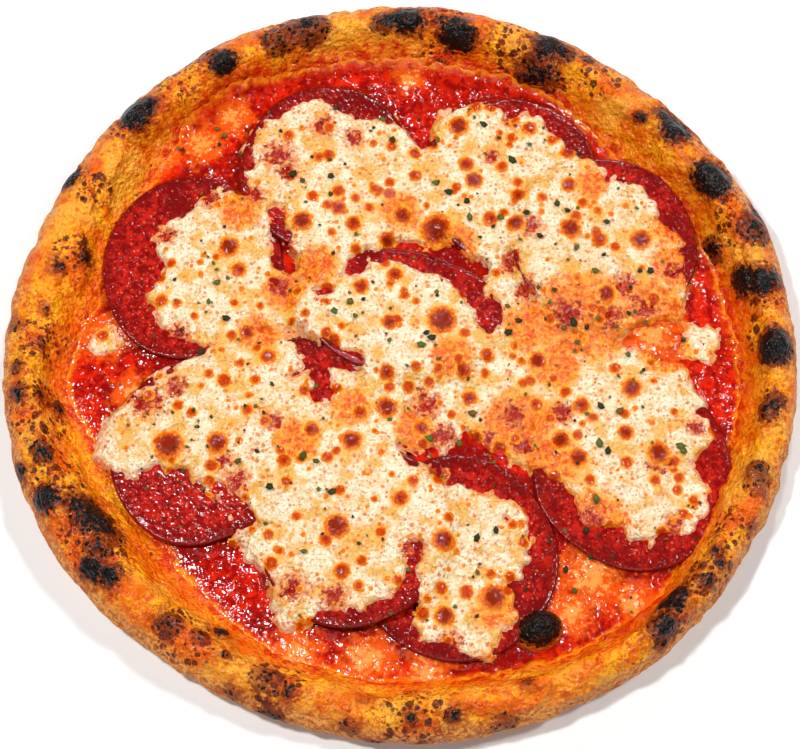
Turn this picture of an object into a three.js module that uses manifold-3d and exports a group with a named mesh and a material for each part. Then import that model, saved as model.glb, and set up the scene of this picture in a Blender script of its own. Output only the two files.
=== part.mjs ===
// A wood-fired diavola pizza, whole and uncut: a leavened crust with a puffed, blistered rim,
// tomato sauce, ten slices of spicy salami that partly overlap, and a melted cheese sheet with
// browned blisters and dried herb flakes. Millimetres, +Z up, the table at z = 0.
import * as THREE from 'three';
import { mergeVertices } from 'three/addons/utils/BufferGeometryUtils.js';
import Module from 'manifold-3d';

const wasm = await Module();
wasm.setup();

// ---------------------------------------------------------------- driving dimensions
const PIZZA_RADIUS = 150;
const BASE_THICKNESS = 4;
const RIM_HEIGHT = 20;
const RIM_WIDTH = 27;
const WIDEST_AT = 0.42; // share of the rim's height where the rim bulges furthest out
const CREST_AT = 0.45; // share of the rim's width, from the outside, where it is highest
const UNDERSIDE_INSET = 11; // the flat underside ends this far inside the outline
const GAP = 0.35; // left between pieces that lie on each other
const SAUCE_THICKNESS = 1.3;
const SAUCE_CLIMB = 0.22; // share of the rim's inner slope that the sauce covers
const SLICE_THICKNESS = 1.9;
const SLICE_EDGE = 1.1; // how far in the slice's rounded edge starts
const SLICE_STEPS = 28;
const CHEESE_THICKNESS = 2.6;
const CHEESE_EDGE = 5; // over this distance the cheese thins to its edge
const CHEESE_LIP = 0.9; // what is left of its thickness at the edge
const LATTICE = 7.6; // spacing of the points that carry the cheese
const DRAPE = 5; // the cheese comes down to the sauce over this distance beside a slice
const FLAKE_SIZE = [2.8, 1.8, 0.9];
const FLAKE_COUNT = 36;

const SAUCE_TOP = BASE_THICKNESS + GAP + SAUCE_THICKNESS;
const TAU = 2 * Math.PI;

// Slow swellings of the rim: [direction in degrees, half width in degrees, amount in mm].
const OUTLINE_LOBES = [
  [104, 26, 2.6],
  [240, 26, -3.2],
  [310, 14, 1.2],
  [160, 8, -1.2],
  [62, 5, 0.9],
  [20, 7, 0.8],
];
const WIDTH_LOBES = [
  [165, 14, 8],
  [217, 14, 6],
  [42, 14, 4],
  [90, 12, 2],
  [352, 12, -4],
  [312, 18, -6],
  [186, 5, -3],
];
const HEIGHT_LOBES = [
  [80, 14, 2],
  [22, 12, 1.5],
  [318, 10, 1.5],
  [210, 12, 1.5],
  [262, 14, -2],
  [150, 10, -1.5],
  [120, 12, 1],
];

// Puffed blisters on the rim: [x, y, radius, height].
const RIM_BLISTERS = [
  [3, 145, 6.5, 2.6],
  [22, 136, 7.5, 3],
  [-38, 141, 8.5, 1.4],
  [-49, 134, 6, 1.2],
  [-71, 123, 6, 2.2],
  [-105, 101, 7, 2.2],
  [-129, 73, 5.5, 1.8],
  [-120, 39, 3.5, 1.4],
  [-131, 35, 3, 1.2],
  [-143, -6, 3, 1.2],
  [-133, -42, 5, 1.4],
  [-141, -48, 3.5, 1.5],
  [-130, -61, 5, 2],
  [-112, -66, 8, 1.6],
  [-110, -79, 6, 1.2],
  [-112, -88, 4.5, 1.8],
  [-105, -89, 4, 1.6],
  [-82, -107, 4.5, 1.2],
  [-56, -100, 3, 1.6],
  [-47, -129, 5.5, 1.2],
  [18, -141, 3.5, 1.6],
  [96, -98, 7.5, 3],
  [94, -108, 5, 1.6],
  [111, -92, 4, 1.2],
  [130, -51, 5, 1.4],
  [135, -25, 4.5, 1.6],
  [140, 0, 7.5, 3],
  [132, 26, 8, 2.6],
  [142, 29, 5, 2],
  [119, 41, 6.5, 2.4],
  [137, 50, 7, 1.6],
  [122, 73, 8.5, 2.4],
  [109, 95, 7.5, 2.6],
  [95, 100, 3, 1.6],
  [60, 132, 7, 1.8],
  [50, 127, 9, 1.8],
  [76, 126, 3, 1],
];

// The one large bubble that rose through the sauce beside the rim: centre, radii.
const FLOOR_BUBBLE = { x: 50, y: -107, rx: 9.5, ry: 8, rz: 11, z: 3 };

// Salami slices from the bottom of the pile up: centre, radii, turn in degrees and, where a
// slice leans on the edge of another, that one's name.
const SLICES = {
  salami_left: { x: -80, y: 37, rx: 34.5, ry: 38.5, turn: 0 },
  salami_top_right: { x: 43, y: 74.5, rx: 34.5, ry: 36.5, turn: 0 },
  salami_under_centre: { x: -33, y: -15, rx: 26, ry: 22, turn: -20 },
  salami_right: { x: 86.5, y: -47, rx: 37, ry: 38, turn: 0 },
  salami_bottom: { x: 21, y: -80, rx: 36, ry: 39.5, turn: 0 },
  salami_top_left: { x: -28, y: 79, rx: 34.5, ry: 37, turn: 0, leansOn: 'salami_left' },
  salami_right_upper: { x: 79, y: 47, rx: 35.5, ry: 35, turn: 0, leansOn: 'salami_top_right' },
  salami_centre: { x: 1, y: 18, rx: 39, ry: 26, turn: -8, leansOn: 'salami_under_centre' },
  salami_left_lower: { x: -74, y: -39.5, rx: 34, ry: 36, turn: 0, leansOn: 'salami_under_centre' },
  salami_bottom_left: { x: -17, y: -71, rx: 35, ry: 36.5, turn: 0, leansOn: 'salami_bottom' },
};

// The cheese is a union of round pools, [x, y, radius], less the gaps that opened in it as it
// ran off the slices, strokes [x, y, x, y, half width].
const CHEESE_POOLS = [
  [-68, 52, 18],
  [-83, 46, 12],
  [-74, 24, 21],
  [-58, 16, 18],
  [-56, 38, 9],
  [-32, 90, 19],
  [-46, 88, 13],
  [-12, 84, 19],
  [-45, 70, 15],
  [-28, 66, 23],
  [-5, 64, 22],
  [-34, 42, 17],
  [-16, 46, 14],
  [-42, 20, 11],
  [30, 92, 18],
  [46, 84, 19],
  [22, 70, 23],
  [62, 70, 18],
  [42, 60, 24],
  [82, 54, 19],
  [88, 42, 20],
  [66, 40, 20],
  [44, 30, 12],
  [96, 26, 14],
  [72, 18, 17],
  [50, 12, 14],
  [-8, 22, 19],
  [8, 14, 19],
  [24, 2, 18],
  [-22, 12, 15],
  [-8, -4, 18],
  [-46, -2, 9],
  [-62, -14, 21],
  [-80, -27, 21],
  [-98, -34, 15],
  [-58, -38, 22],
  [-36, -30, 22],
  [-14, -24, 22],
  [8, -22, 18],
  [-40, -66, 21],
  [-18, -62, 25],
  [-28, -84, 18],
  [-10, -82, 17],
  [-36, -97, 10],
  [4, -50, 14],
  [16, -68, 17],
  [30, -74, 18],
  [20, -88, 18],
  [28, -100, 14],
  [14, -102, 10],
  [28, -108, 9],
  [46, -6, 14],
  [60, -12, 18],
  [38, -22, 15],
  [52, -34, 13],
  [80, -15, 20],
  [98, -17, 15],
  [72, -34, 21],
  [90, -34, 20],
  [106, -33, 10],
  [80, -50, 19],
  [98, -56, 15],
  [90, -64, 11],
];
const CHEESE_GAPS = [
  [-48, 58, -44, 38, 3.6],
  [8, 108, 9, 92, 4.5],
  [0, 43, 13, 43, 4],
  [13, 43, 24, 33, 4.5],
  [24, 33, 36, 14, 4.5],
  [-34, 3, -18, -4, 3],
  [-31, -6, -30, -15, 4.5],
  [4, -41, 30, -43, 4],
  [30, -43, 48, -58, 5.5],
  [6, -80, 3, -98, 3],
  [-66, -56, -56, -66, 4],
];

// Two scraps of cheese that melted away from the sheet: [x, y, radius, stretch, turn].
const CHEESE_SCRAPS = {
  cheese_scrap_left: [-112.5, 7, 5.2, 1.1, 20],
  cheese_scrap_right: [114, 6, 6.5, 1.15, 80],
};

// The largest browned blisters in the cheese: [x, y, radius].
const CHEESE_BLISTERS = [
  [24, 98, 6],
  [14, 53, 6.5],
  [16, 14, 6.5],
  [-87, -38, 6.5],
  [17, -73, 6],
  [35, -96, 6],
  [-24, -68, 5.5],
  [-68, 46, 5.2],
  [-5, -20, 5.2],
  [-19, -34, 5.2],
  [94, 49, 5.2],
  [50, -3, 5],
  [-38, 58, 5],
  [-70, -36, 4.8],
  [16, -104, 5],
  [1, 60, 4.6],
  [45, 56, 4.6],
  [66, 72, 4.6],
  [67, 56, 4.6],
  [96, -39, 4.6],
  [66, -42, 4.6],
  [-73, 62, 4.4],
  [77, 49, 4.2],
  [24, -92, 4.2],
  [-49, 1, 4.2],
];

// ---------------------------------------------------------------- small helpers
const radians = (degrees) => (degrees * Math.PI) / 180;
const mix = (a, b, t) => a + (b - a) * t;

function smoothstep(low, high, value) {
  const t = Math.min(1, Math.max(0, (value - low) / (high - low)));
  return t * t * (3 - 2 * t);
}

// The sum of soft lobes round the pizza at an angle in radians.
function lobes(list, angle) {
  let sum = 0;
  for (const [at, wide, amount] of list) {
    const away = Math.atan2(Math.sin(angle - radians(at)), Math.cos(angle - radians(at)));
    sum += amount * Math.exp(-((away / radians(wide)) ** 2));
  }
  return sum;
}

// A repeatable stream of draws from 0 to 1.
function seededDraws(seed) {
  let state = seed;
  return () => {
    state = (state * 1664525 + 1013904223) % 4294967296;
    return state / 4294967296;
  };
}

function geometryOf(points, faces) {
  const geometry = new THREE.BufferGeometry();
  geometry.setAttribute('position', new THREE.Float32BufferAttribute(points.flat(), 3));
  geometry.setIndex(faces.flat());
  return geometry;
}

function solidOf(geometry) {
  const plain = geometry.clone();
  plain.deleteAttribute('normal');
  plain.deleteAttribute('uv');
  const merged = mergeVertices(plain, 1e-4);
  return new wasm.Manifold(
    new wasm.Mesh({
      numProp: 3,
      vertProperties: merged.attributes.position.array,
      triVerts: new Uint32Array(merged.index.array),
    }),
  );
}

function geometryOfSolid(solid) {
  const mesh = solid.getMesh();
  const geometry = new THREE.BufferGeometry();
  geometry.setAttribute('position', new THREE.BufferAttribute(mesh.vertProperties, 3));
  geometry.setIndex(new THREE.BufferAttribute(mesh.triVerts, 1));
  return geometry;
}

// A closed skin over rings of points, listed from the centre of the underside, out and back to
// the centre of the top. Each ring has the same number of points.
function skinOverRings(bottomCentre, rings, topCentre) {
  const count = rings[0].length;
  const points = [bottomCentre, ...rings.flat(), topCentre];
  const last = points.length - 1;
  const at = (ring, i) => 1 + ring * count + (i % count);
  const faces = [];
  for (let i = 0; i < count; i++) {
    faces.push([0, at(0, i + 1), at(0, i)]);
    for (let ring = 0; ring < rings.length - 1; ring++) {
      faces.push([at(ring, i), at(ring, i + 1), at(ring + 1, i + 1)]);
      faces.push([at(ring, i), at(ring + 1, i + 1), at(ring + 1, i)]);
    }
    faces.push([at(rings.length - 1, i), at(rings.length - 1, i + 1), last]);
  }
  return geometryOf(points, faces);
}

// ---------------------------------------------------------------- crust
const CRUST_STEPS = 144;
const UNDERSIDE_STEPS = 2;
const OUTSIDE_STEPS = 4;
const SLOPE_STEPS = 5;

// The rim's own size in one direction.
function rimAt(angle) {
  const radius = PIZZA_RADIUS + lobes(OUTLINE_LOBES, angle);
  const width = RIM_WIDTH + lobes(WIDTH_LOBES, angle);
  const height = RIM_HEIGHT + lobes(HEIGHT_LOBES, angle);
  return { radius, width, height, widest: WIDEST_AT * height };
}

// Points of the rim's section, [distance from the centre, height].
function undersidePoint(rim, t) {
  const turn = (t * Math.PI) / 2;
  return [rim.radius - UNDERSIDE_INSET * (1 - Math.sin(turn)), rim.widest * (1 - Math.cos(turn))];
}

function outsidePoint(rim, t) {
  const turn = (t * Math.PI) / 2;
  return [
    rim.radius - CREST_AT * rim.width * (1 - Math.cos(turn)),
    rim.widest + (rim.height - rim.widest) * Math.sin(turn),
  ];
}

function slopePoint(rim, t) {
  return [
    rim.radius - rim.width * mix(CREST_AT, 1, t),
    BASE_THICKNESS + (rim.height - BASE_THICKNESS) * (0.5 + 0.5 * Math.cos(Math.PI * t)),
  ];
}

// A point of the rim pushed out by the blisters round it, along the rim's rounded surface.
function blistered(x, y, z, rim, angle) {
  let push = 0;
  for (const [bx, by, radius, height] of RIM_BLISTERS) {
    const away = Math.hypot(x - bx, y - by) / radius;
    push += height * Math.exp(-1.2 * away * away);
  }
  const core = rim.radius - CREST_AT * rim.width;
  const reach = Math.hypot(x, y);
  const out = new THREE.Vector2(reach - core, z - rim.widest).normalize();
  const kept = smoothstep(0, rim.widest, z);
  return [
    x + push * kept * out.x * Math.cos(angle),
    y + push * kept * out.x * Math.sin(angle),
    z + push * kept * out.y,
  ];
}

function crustRings() {
  const rings = [];
  const addRing = (sectionPoint, t, blisters) => {
    const ring = [];
    for (let i = 0; i < CRUST_STEPS; i++) {
      const angle = (i / CRUST_STEPS) * TAU;
      const rim = rimAt(angle);
      const [reach, z] = sectionPoint(rim, t);
      const x = reach * Math.cos(angle);
      const y = reach * Math.sin(angle);
      ring.push(blisters ? blistered(x, y, z, rim, angle) : [x, y, z]);
    }
    rings.push(ring);
  };
  for (let step = 0; step < UNDERSIDE_STEPS; step++)
    addRing(undersidePoint, step / UNDERSIDE_STEPS, step > 0);
  for (let step = 0; step < OUTSIDE_STEPS; step++)
    addRing(outsidePoint, step / OUTSIDE_STEPS, true);
  for (let step = 0; step < SLOPE_STEPS - 1; step++)
    addRing(slopePoint, step / SLOPE_STEPS, true);
  addRing(slopePoint, 1 - 1 / SLOPE_STEPS, false);
  addRing(slopePoint, 1, false);
  return rings;
}

function bubbleSolid(extra) {
  const { x, y, z, rx, ry, rz } = FLOOR_BUBBLE;
  const ball = new THREE.SphereGeometry(1, 16, 10);
  ball.rotateX(Math.PI / 2);
  ball.scale(rx + extra, ry + extra, rz + extra);
  ball.rotateZ(radians(20));
  ball.translate(x, y, z);
  const below = new THREE.BoxGeometry(60, 60, 60);
  below.translate(x, y, BASE_THICKNESS / 2 - 30);
  return solidOf(ball).subtract(solidOf(below));
}

function crustSolid() {
  const rings = crustRings();
  const skin = skinOverRings([0, 0, 0], rings, [0, 0, BASE_THICKNESS]);
  return solidOf(skin).add(bubbleSolid(0));
}

// ---------------------------------------------------------------- sauce
const SAUCE_STEPS = 72;

// The sauce lies on the base and climbs a little way up the rim's inner slope.
function sauceSolid() {
  const rings = { underFoot: [], underEdge: [], topEdge: [], topFoot: [] };
  for (let i = 0; i < SAUCE_STEPS; i++) {
    const angle = (i / SAUCE_STEPS) * TAU;
    const rim = rimAt(angle);
    const [footReach] = slopePoint(rim, 1);
    const [nextReach, nextZ] = slopePoint(rim, 1 - 1 / SLOPE_STEPS);
    const share = SAUCE_CLIMB * SLOPE_STEPS * (0.8 + 0.2 * Math.sin(angle * 9 + 1));
    const reach = mix(footReach, nextReach, Math.min(1, share));
    const z = mix(BASE_THICKNESS, nextZ, Math.min(1, share)) + GAP;
    const point = (r, height) => [r * Math.cos(angle), r * Math.sin(angle), height];
    rings.underFoot.push(point(footReach, BASE_THICKNESS + GAP));
    rings.underEdge.push(point(reach, z));
    rings.topEdge.push(point(reach - 0.2, z + 0.6));
    rings.topFoot.push(point(footReach - 4, SAUCE_TOP));
  }
  const skin = skinOverRings(
    [0, 0, BASE_THICKNESS + GAP],
    Object.values(rings),
    [0, 0, SAUCE_TOP],
  );
  return solidOf(skin).subtract(bubbleSolid(GAP));
}

// ---------------------------------------------------------------- salami
// How far a point lies outside a slice's edge, in mm, negative inside.
function outsideSlice(slice, x, y) {
  const c = Math.cos(radians(slice.turn));
  const s = Math.sin(radians(slice.turn));
  const u = ((x - slice.x) * c + (y - slice.y) * s) / slice.rx;
  const v = (-(x - slice.x) * s + (y - slice.y) * c) / slice.ry;
  return (Math.hypot(u, v) - 1) * Math.min(slice.rx, slice.ry);
}

// The slice's radius in a direction given by a unit vector.
function radiusToward(slice, dx, dy) {
  const c = Math.cos(radians(slice.turn));
  const s = Math.sin(radians(slice.turn));
  return 1 / Math.hypot((dx * c + dy * s) / slice.rx, (-dx * s + dy * c) / slice.ry);
}

// The height of a slice's underside at a point. A slice that leans on another slopes up from
// its far edge, which stays on the sauce.
function undersideOf(slice, x, y) {
  const flat = SAUCE_TOP + GAP;
  if (!slice.leansOn) return flat;
  const lower = SLICES[slice.leansOn];
  const apart = Math.hypot(lower.x - slice.x, lower.y - slice.y);
  const dx = (lower.x - slice.x) / apart;
  const dy = (lower.y - slice.y) / apart;
  const far = radiusToward(slice, -dx, -dy);
  const rise = SLICE_THICKNESS + 2 * GAP;
  const slope = rise / (far + apart - radiusToward(lower, dx, dy));
  return flat + slope * Math.max(0, (x - slice.x) * dx + (y - slice.y) * dy + far);
}

// The height of the highest thing below the cheese. Beside a slice it stays as high as the
// slice for one lattice step, then comes down to the sauce.
function pileTop(x, y) {
  let top = SAUCE_TOP;
  for (const slice of Object.values(SLICES)) {
    const near = 1 - smoothstep(LATTICE, LATTICE + DRAPE, outsideSlice(slice, x, y));
    top = Math.max(top, mix(SAUCE_TOP, undersideOf(slice, x, y) + SLICE_THICKNESS, near));
  }
  return top;
}

// A slice of salami, slightly out of round. With extra, it is grown by that much all round, to
// cut clearance from its neighbours.
function sliceSolid(name, extra) {
  const slice = SLICES[name];
  const shape = [
    [1 - SLICE_EDGE / slice.rx, 0],
    [1, 0.45],
    [1 - SLICE_EDGE / slice.rx, 1],
  ];
  const heightAt = (x, y, share) =>
    undersideOf(slice, x, y) - extra + share * (SLICE_THICKNESS + 2 * extra);
  const rings = shape.map(([f, share]) =>
    Array.from({ length: SLICE_STEPS }, (_, i) => {
      const angle = (i / SLICE_STEPS) * TAU;
      const uneven = 0.5 * Math.sin(3 * angle + slice.x) + 0.3 * Math.sin(5 * angle + slice.y);
      const u = (f * slice.rx + extra + uneven) * Math.cos(angle);
      const v = (f * slice.ry + extra + uneven) * Math.sin(angle);
      const turn = radians(slice.turn);
      const x = slice.x + u * Math.cos(turn) - v * Math.sin(turn);
      const y = slice.y + u * Math.sin(turn) + v * Math.cos(turn);
      return [x, y, heightAt(x, y, share)];
    }),
  );
  const centre = (share) => [slice.x, slice.y, heightAt(slice.x, slice.y, share)];
  return solidOf(skinOverRings(centre(0), rings, centre(1)));
}

// ---------------------------------------------------------------- cheese
// How far inside the cheese's edge a point lies, in mm, negative outside.
function insideCheese(x, y) {
  let inside = -99;
  for (const [px, py, radius] of CHEESE_POOLS)
    inside = Math.max(inside, radius - Math.hypot(x - px, y - py));
  for (const [ax, ay, bx, by, half] of CHEESE_GAPS) {
    const length = Math.hypot(bx - ax, by - ay);
    const along = ((x - ax) * (bx - ax) + (y - ay) * (by - ay)) / length ** 2;
    const t = Math.min(1, Math.max(0, along));
    const away = Math.hypot(x - mix(ax, bx, t), y - mix(ay, by, t));
    inside = Math.min(inside, away - half);
  }
  return inside + 0.9 * Math.sin(x / 5.3 + 1.7 * Math.sin(y / 7.1)) * Math.cos(y / 4.7);
}

// The top of the cheese, draped over whatever lies below it.
function cheeseTop(x, y, inside) {
  const full = smoothstep(0, CHEESE_EDGE, inside);
  const ripple = 0.25 * Math.sin(x / 6.1) * Math.sin(y / 5.3 + x / 11);
  return pileTop(x, y) + GAP + mix(CHEESE_LIP, CHEESE_THICKNESS, full) + ripple * full;
}

// A sheet over the part of the plane where inside(x, y) is above zero. The plane is laid out in
// triangles, and those that the edge crosses are cut along it.
function sheetSolid(inside, topAt, bottomAt, halfSide) {
  const rowHeight = (LATTICE * Math.sqrt(3)) / 2;
  const rows = Math.ceil(halfSide / rowHeight);
  const columns = Math.ceil(halfSide / LATTICE);
  const points = [];
  const numbers = new Map();
  const faces = [];
  const rim = new Map();

  const latticePoint = (column, row) => {
    const x = (column + (row & 1 ? 0.5 : 0)) * LATTICE;
    const y = row * rowHeight;
    return { key: `${column},${row}`, x, y, value: inside(x, y) };
  };
  const numberOf = (key, x, y, value) => {
    if (!numbers.has(key)) {
      numbers.set(key, points.length / 2);
      points.push([x, y, bottomAt(x, y)], [x, y, topAt(x, y, Math.max(0, value))]);
    }
    return numbers.get(key);
  };
  const crossing = (a, b) => {
    const [p, q] = a.key < b.key ? [a, b] : [b, a];
    const t = Math.min(0.85, Math.max(0.15, p.value / (p.value - q.value)));
    return numberOf(`${p.key}|${q.key}`, mix(p.x, q.x, t), mix(p.y, q.y, t), 0);
  };
  const addTriangle = (a, b, c) => {
    faces.push([2 * a + 1, 2 * b + 1, 2 * c + 1], [2 * a, 2 * c, 2 * b]);
    for (const [p, q] of [[a, b], [b, c], [c, a]])
      if (!rim.delete(`${q},${p}`)) rim.set(`${p},${q}`, [p, q]);
  };
  const addCell = (corners) => {
    const ring = [];
    corners.forEach((corner, i) => {
      const next = corners[(i + 1) % 3];
      if (corner.value > 0) ring.push(numberOf(corner.key, corner.x, corner.y, corner.value));
      if (corner.value > 0 !== next.value > 0) ring.push(crossing(corner, next));
    });
    for (let i = 1; i + 1 < ring.length; i++) addTriangle(ring[0], ring[i], ring[i + 1]);
  };

  for (let row = -rows; row < rows; row++)
    for (let column = -columns; column < columns; column++) {
      const shift = row & 1 ? 1 : 0;
      const here = latticePoint(column, row);
      const right = latticePoint(column + 1, row);
      const above = latticePoint(column + shift, row + 1);
      const aboveLeft = latticePoint(column + shift - 1, row + 1);
      addCell([here, right, above]);
      addCell([here, above, aboveLeft]);
    }
  for (const [p, q] of rim.values())
    faces.push([2 * p, 2 * q, 2 * q + 1], [2 * p, 2 * q + 1, 2 * p + 1]);
  return solidOf(geometryOf(points, faces));
}

function largestPiece(solid) {
  return solid.decompose().reduce((a, b) => (a.volume() > b.volume() ? a : b));
}

// A browned blister: a low dome that stands on the cheese.
function blisterSolid([x, y, radius]) {
  const dome = new THREE.SphereGeometry(1, 8, 4);
  dome.rotateX(Math.PI / 2);
  dome.scale(radius, radius * 0.92, 1.9);
  dome.rotateZ(x + y);
  dome.translate(x, y, cheeseTop(x, y, CHEESE_EDGE) - 0.7);
  return solidOf(dome);
}

// Places for herb flakes: drawn over the cheese, kept apart from each other, from its edge and
// from the blisters.
function flakePlaces() {
  const draw = seededDraws(7);
  const places = [];
  while (places.length < FLAKE_COUNT) {
    const angle = draw() * TAU;
    const reach = 112 * Math.sqrt(draw());
    const x = reach * Math.cos(angle);
    const y = reach * Math.sin(angle);
    const turn = draw() * TAU;
    const crowded = places.some((p) => Math.hypot(p.x - x, p.y - y) < 9);
    const onBlister = CHEESE_BLISTERS.some(([bx, by, r]) => Math.hypot(bx - x, by - y) < r + 3);
    if (insideCheese(x, y) > 4 && !crowded && !onBlister) places.push({ x, y, turn });
  }
  return places;
}

function flakeSolid({ x, y, turn }) {
  const chip = new THREE.OctahedronGeometry(1);
  chip.scale(...FLAKE_SIZE.map((side) => side * 0.62));
  chip.rotateX(0.25 * Math.sin(turn * 3));
  chip.rotateZ(turn);
  chip.translate(x, y, cheeseTop(x, y, insideCheese(x, y)) + 0.1);
  return solidOf(chip);
}

function cheeseSolid(below) {
  const cheeseBottom = (x, y) => pileTop(x, y) + GAP;
  const sheet = sheetSolid(insideCheese, cheeseTop, cheeseBottom, 132);
  const trimmed = largestPiece(below.reduce((left, cut) => left.subtract(cut), sheet));
  const domes = CHEESE_BLISTERS.map(blisterSolid);
  const chips = flakePlaces().map(flakeSolid);
  return largestPiece([...domes, ...chips].reduce((whole, extra) => whole.add(extra), trimmed));
}

function scrapSolid([x, y, radius, stretch, turn]) {
  const rings = [[1, 0], [1.03, 0.35], [0.72, 0.85], [0.35, 1]].map(([f, share]) =>
    Array.from({ length: 20 }, (_, i) => {
      const angle = (i / 20) * TAU;
      const reach = f * radius * (1 + 0.1 * Math.sin(3 * angle + turn));
      const u = reach * stretch * Math.cos(angle);
      const v = reach * Math.sin(angle);
      const c = Math.cos(radians(turn));
      const s = Math.sin(radians(turn));
      return [x + u * c - v * s, y + u * s + v * c, SAUCE_TOP + GAP + share * CHEESE_THICKNESS * 0.7];
    }),
  );
  const centreZ = SAUCE_TOP + GAP + CHEESE_THICKNESS * 0.75;
  return solidOf(skinOverRings([x, y, SAUCE_TOP + GAP], rings, [x, y, centreZ]));
}

// ---------------------------------------------------------------- the whole pizza
const FINISHES = {
  crust: { color: 0xd9963c, roughness: 0.72, metalness: 0 },
  sauce: { color: 0xb3200c, roughness: 0.25, metalness: 0 },
  salami: { color: 0x97181a, roughness: 0.35, metalness: 0 },
  cheese: { color: 0xf6dfae, roughness: 0.38, metalness: 0 },
};

const pizza = new THREE.Group();

function addMesh(name, solid, finish) {
  const material = new THREE.MeshStandardMaterial(FINISHES[finish]);
  const mesh = new THREE.Mesh(geometryOfSolid(solid), material);
  mesh.name = name;
  pizza.add(mesh);
}

const crust = crustSolid();
const sauce = sauceSolid();
addMesh('crust', crust, 'crust');
addMesh('sauce', sauce, 'sauce');

const clearOfBubble = bubbleSolid(2 * GAP);
const raised = (solid, height) => solid.translate([0, 0, height]);
const clearOfCrust = raised(crust, 2 * GAP);
const clearOfSauce = raised(sauce, 0.9 * GAP).add(raised(sauce, 0.4 * GAP));
const cuts = [clearOfBubble, clearOfCrust, clearOfSauce];
const clearOf = (solid, others) => others.reduce((left, cut) => left.subtract(cut), solid);
const placed = [];
for (const name of Object.keys(SLICES)) {
  addMesh(name, largestPiece(clearOf(sliceSolid(name, 0), [...cuts, ...placed])), 'salami');
  placed.push(sliceSolid(name, GAP));
}

addMesh('cheese', cheeseSolid(cuts), 'cheese');
for (const [name, scrap] of Object.entries(CHEESE_SCRAPS))
  addMesh(name, clearOf(scrapSolid(scrap), cuts), 'cheese');

// The middle of the outline stands on the axis.
const middle = new THREE.Box3().setFromObject(pizza).getCenter(new THREE.Vector3());
pizza.position.set(-middle.x, -middle.y, 0);

export default pizza;
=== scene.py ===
# %% [markdown]
# # A diavola pizza, straight from a wood-fired oven
#
# The real thing is a flat round of dough whose edge has puffed into an uneven, blistered rim.
# On it lie tomato sauce, ten slices of spicy salami, melted cheese with browned bubbles, and
# dried herbs. The CAD model already holds each of these as a plain solid of the right size.
# Here every one gets its fine surface and its colours. Nearly all of it could be sculpted by
# hand, but numpy arrays make the same shapes from a few numbers, so a size can be changed in
# one place, and the result is the same on each run.

# %% Load the frame
import itertools
import math

import bpy
import numpy as np
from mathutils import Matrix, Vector


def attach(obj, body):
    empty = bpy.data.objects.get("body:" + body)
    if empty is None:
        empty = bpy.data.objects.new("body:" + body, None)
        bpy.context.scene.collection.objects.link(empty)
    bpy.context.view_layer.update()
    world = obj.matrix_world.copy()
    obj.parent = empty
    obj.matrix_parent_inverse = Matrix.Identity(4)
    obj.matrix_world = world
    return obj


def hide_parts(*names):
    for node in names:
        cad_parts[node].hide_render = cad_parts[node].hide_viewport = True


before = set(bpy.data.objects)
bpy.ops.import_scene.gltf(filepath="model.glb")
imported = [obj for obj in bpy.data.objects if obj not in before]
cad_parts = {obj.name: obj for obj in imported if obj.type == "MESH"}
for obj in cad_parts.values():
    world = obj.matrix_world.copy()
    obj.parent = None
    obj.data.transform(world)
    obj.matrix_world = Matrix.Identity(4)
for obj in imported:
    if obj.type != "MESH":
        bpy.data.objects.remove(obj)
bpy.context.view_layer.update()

print("CAD nodes:", ", ".join(sorted(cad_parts)))

# %% [markdown]
# ## Units and the middle of the pizza
#
# Cooking sizes are easiest to think of in millimetres, while Blender works in metres, so each
# mesh is drawn in millimetres and scaled once when it is made. The tables below are read round
# the middle of the toppings. The outline's own middle is a little further up and right, and
# that is where the model's origin is, so one small shift is added to every mesh.

# %% Units
MM = 0.001
MIDDLE = np.array([-0.186, -1.635, 0.0])


def smoothstep(low, high, value):
    t = np.clip((value - low) / (high - low), 0, 1)
    return t * t * (3 - 2 * t)


def mix(a, b, t):
    return a + (b - a) * t


# %% [markdown]
# ## The camera
#
# The photograph looks down at 67 degrees with a long lens, so the round stays nearly round. A
# camera is just a place, a lens and a direction: it is put on a line through the middle of the
# toppings, at the distance where the pizza fills the picture as it does in the photograph.

# %% Camera
LENS = 100
ELEVATION = math.radians(67)
CAMERA_REACH = 835.4
LOOK_AT = np.array([0.0, -8.0, 8.0])
EYE = LOOK_AT + CAMERA_REACH * np.array([0, -math.cos(ELEVATION), math.sin(ELEVATION)])

camera = bpy.data.objects.new("camera", bpy.data.cameras.new("camera"))
bpy.context.collection.objects.link(camera)
bpy.context.scene.camera = camera
camera.data.lens = LENS
camera.data.sensor_width = 36
camera.data.sensor_fit = "HORIZONTAL"
camera.location = (EYE + MIDDLE) * MM
camera.rotation_euler = (math.pi / 2 - ELEVATION, 0, 0)
print("camera at", [round(v, 3) for v in camera.location])


# %% [markdown]
# ## Noise and soft spots
#
# Dough, sauce and cheese are uneven at every size, from slow swells to fine grain. Blender has
# noise textures for a material, but the mesh itself has to be uneven too, or the outline and
# the shadows stay smooth. A small numpy noise does that: random values on a lattice, blended
# smoothly between the lattice points. Spots are the other half of the look: a field that is 1
# in a spot's middle and 0 at its edge, so that a material can later cut it off raggedly.

# %% Noise for meshes
# Turns the lattice away from the axes, so that no row of it lies along the table.
TILTED_AXES = np.array([[0.8, 0.36, 0.48], [-0.6, 0.48, 0.64], [0.0, -0.8, 0.6]])
LIVELINESS = 1.4  # brings the noise to about -1 to 1
SEED_STEP = 31.7  # each seed reads the lattice this many cells further on
# Large odd numbers that turn a lattice point's place into a value that looks random.
SCRAMBLERS, LAST_SCRAMBLER = (73856093, 19349663, 83492791), 1274126177


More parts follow.
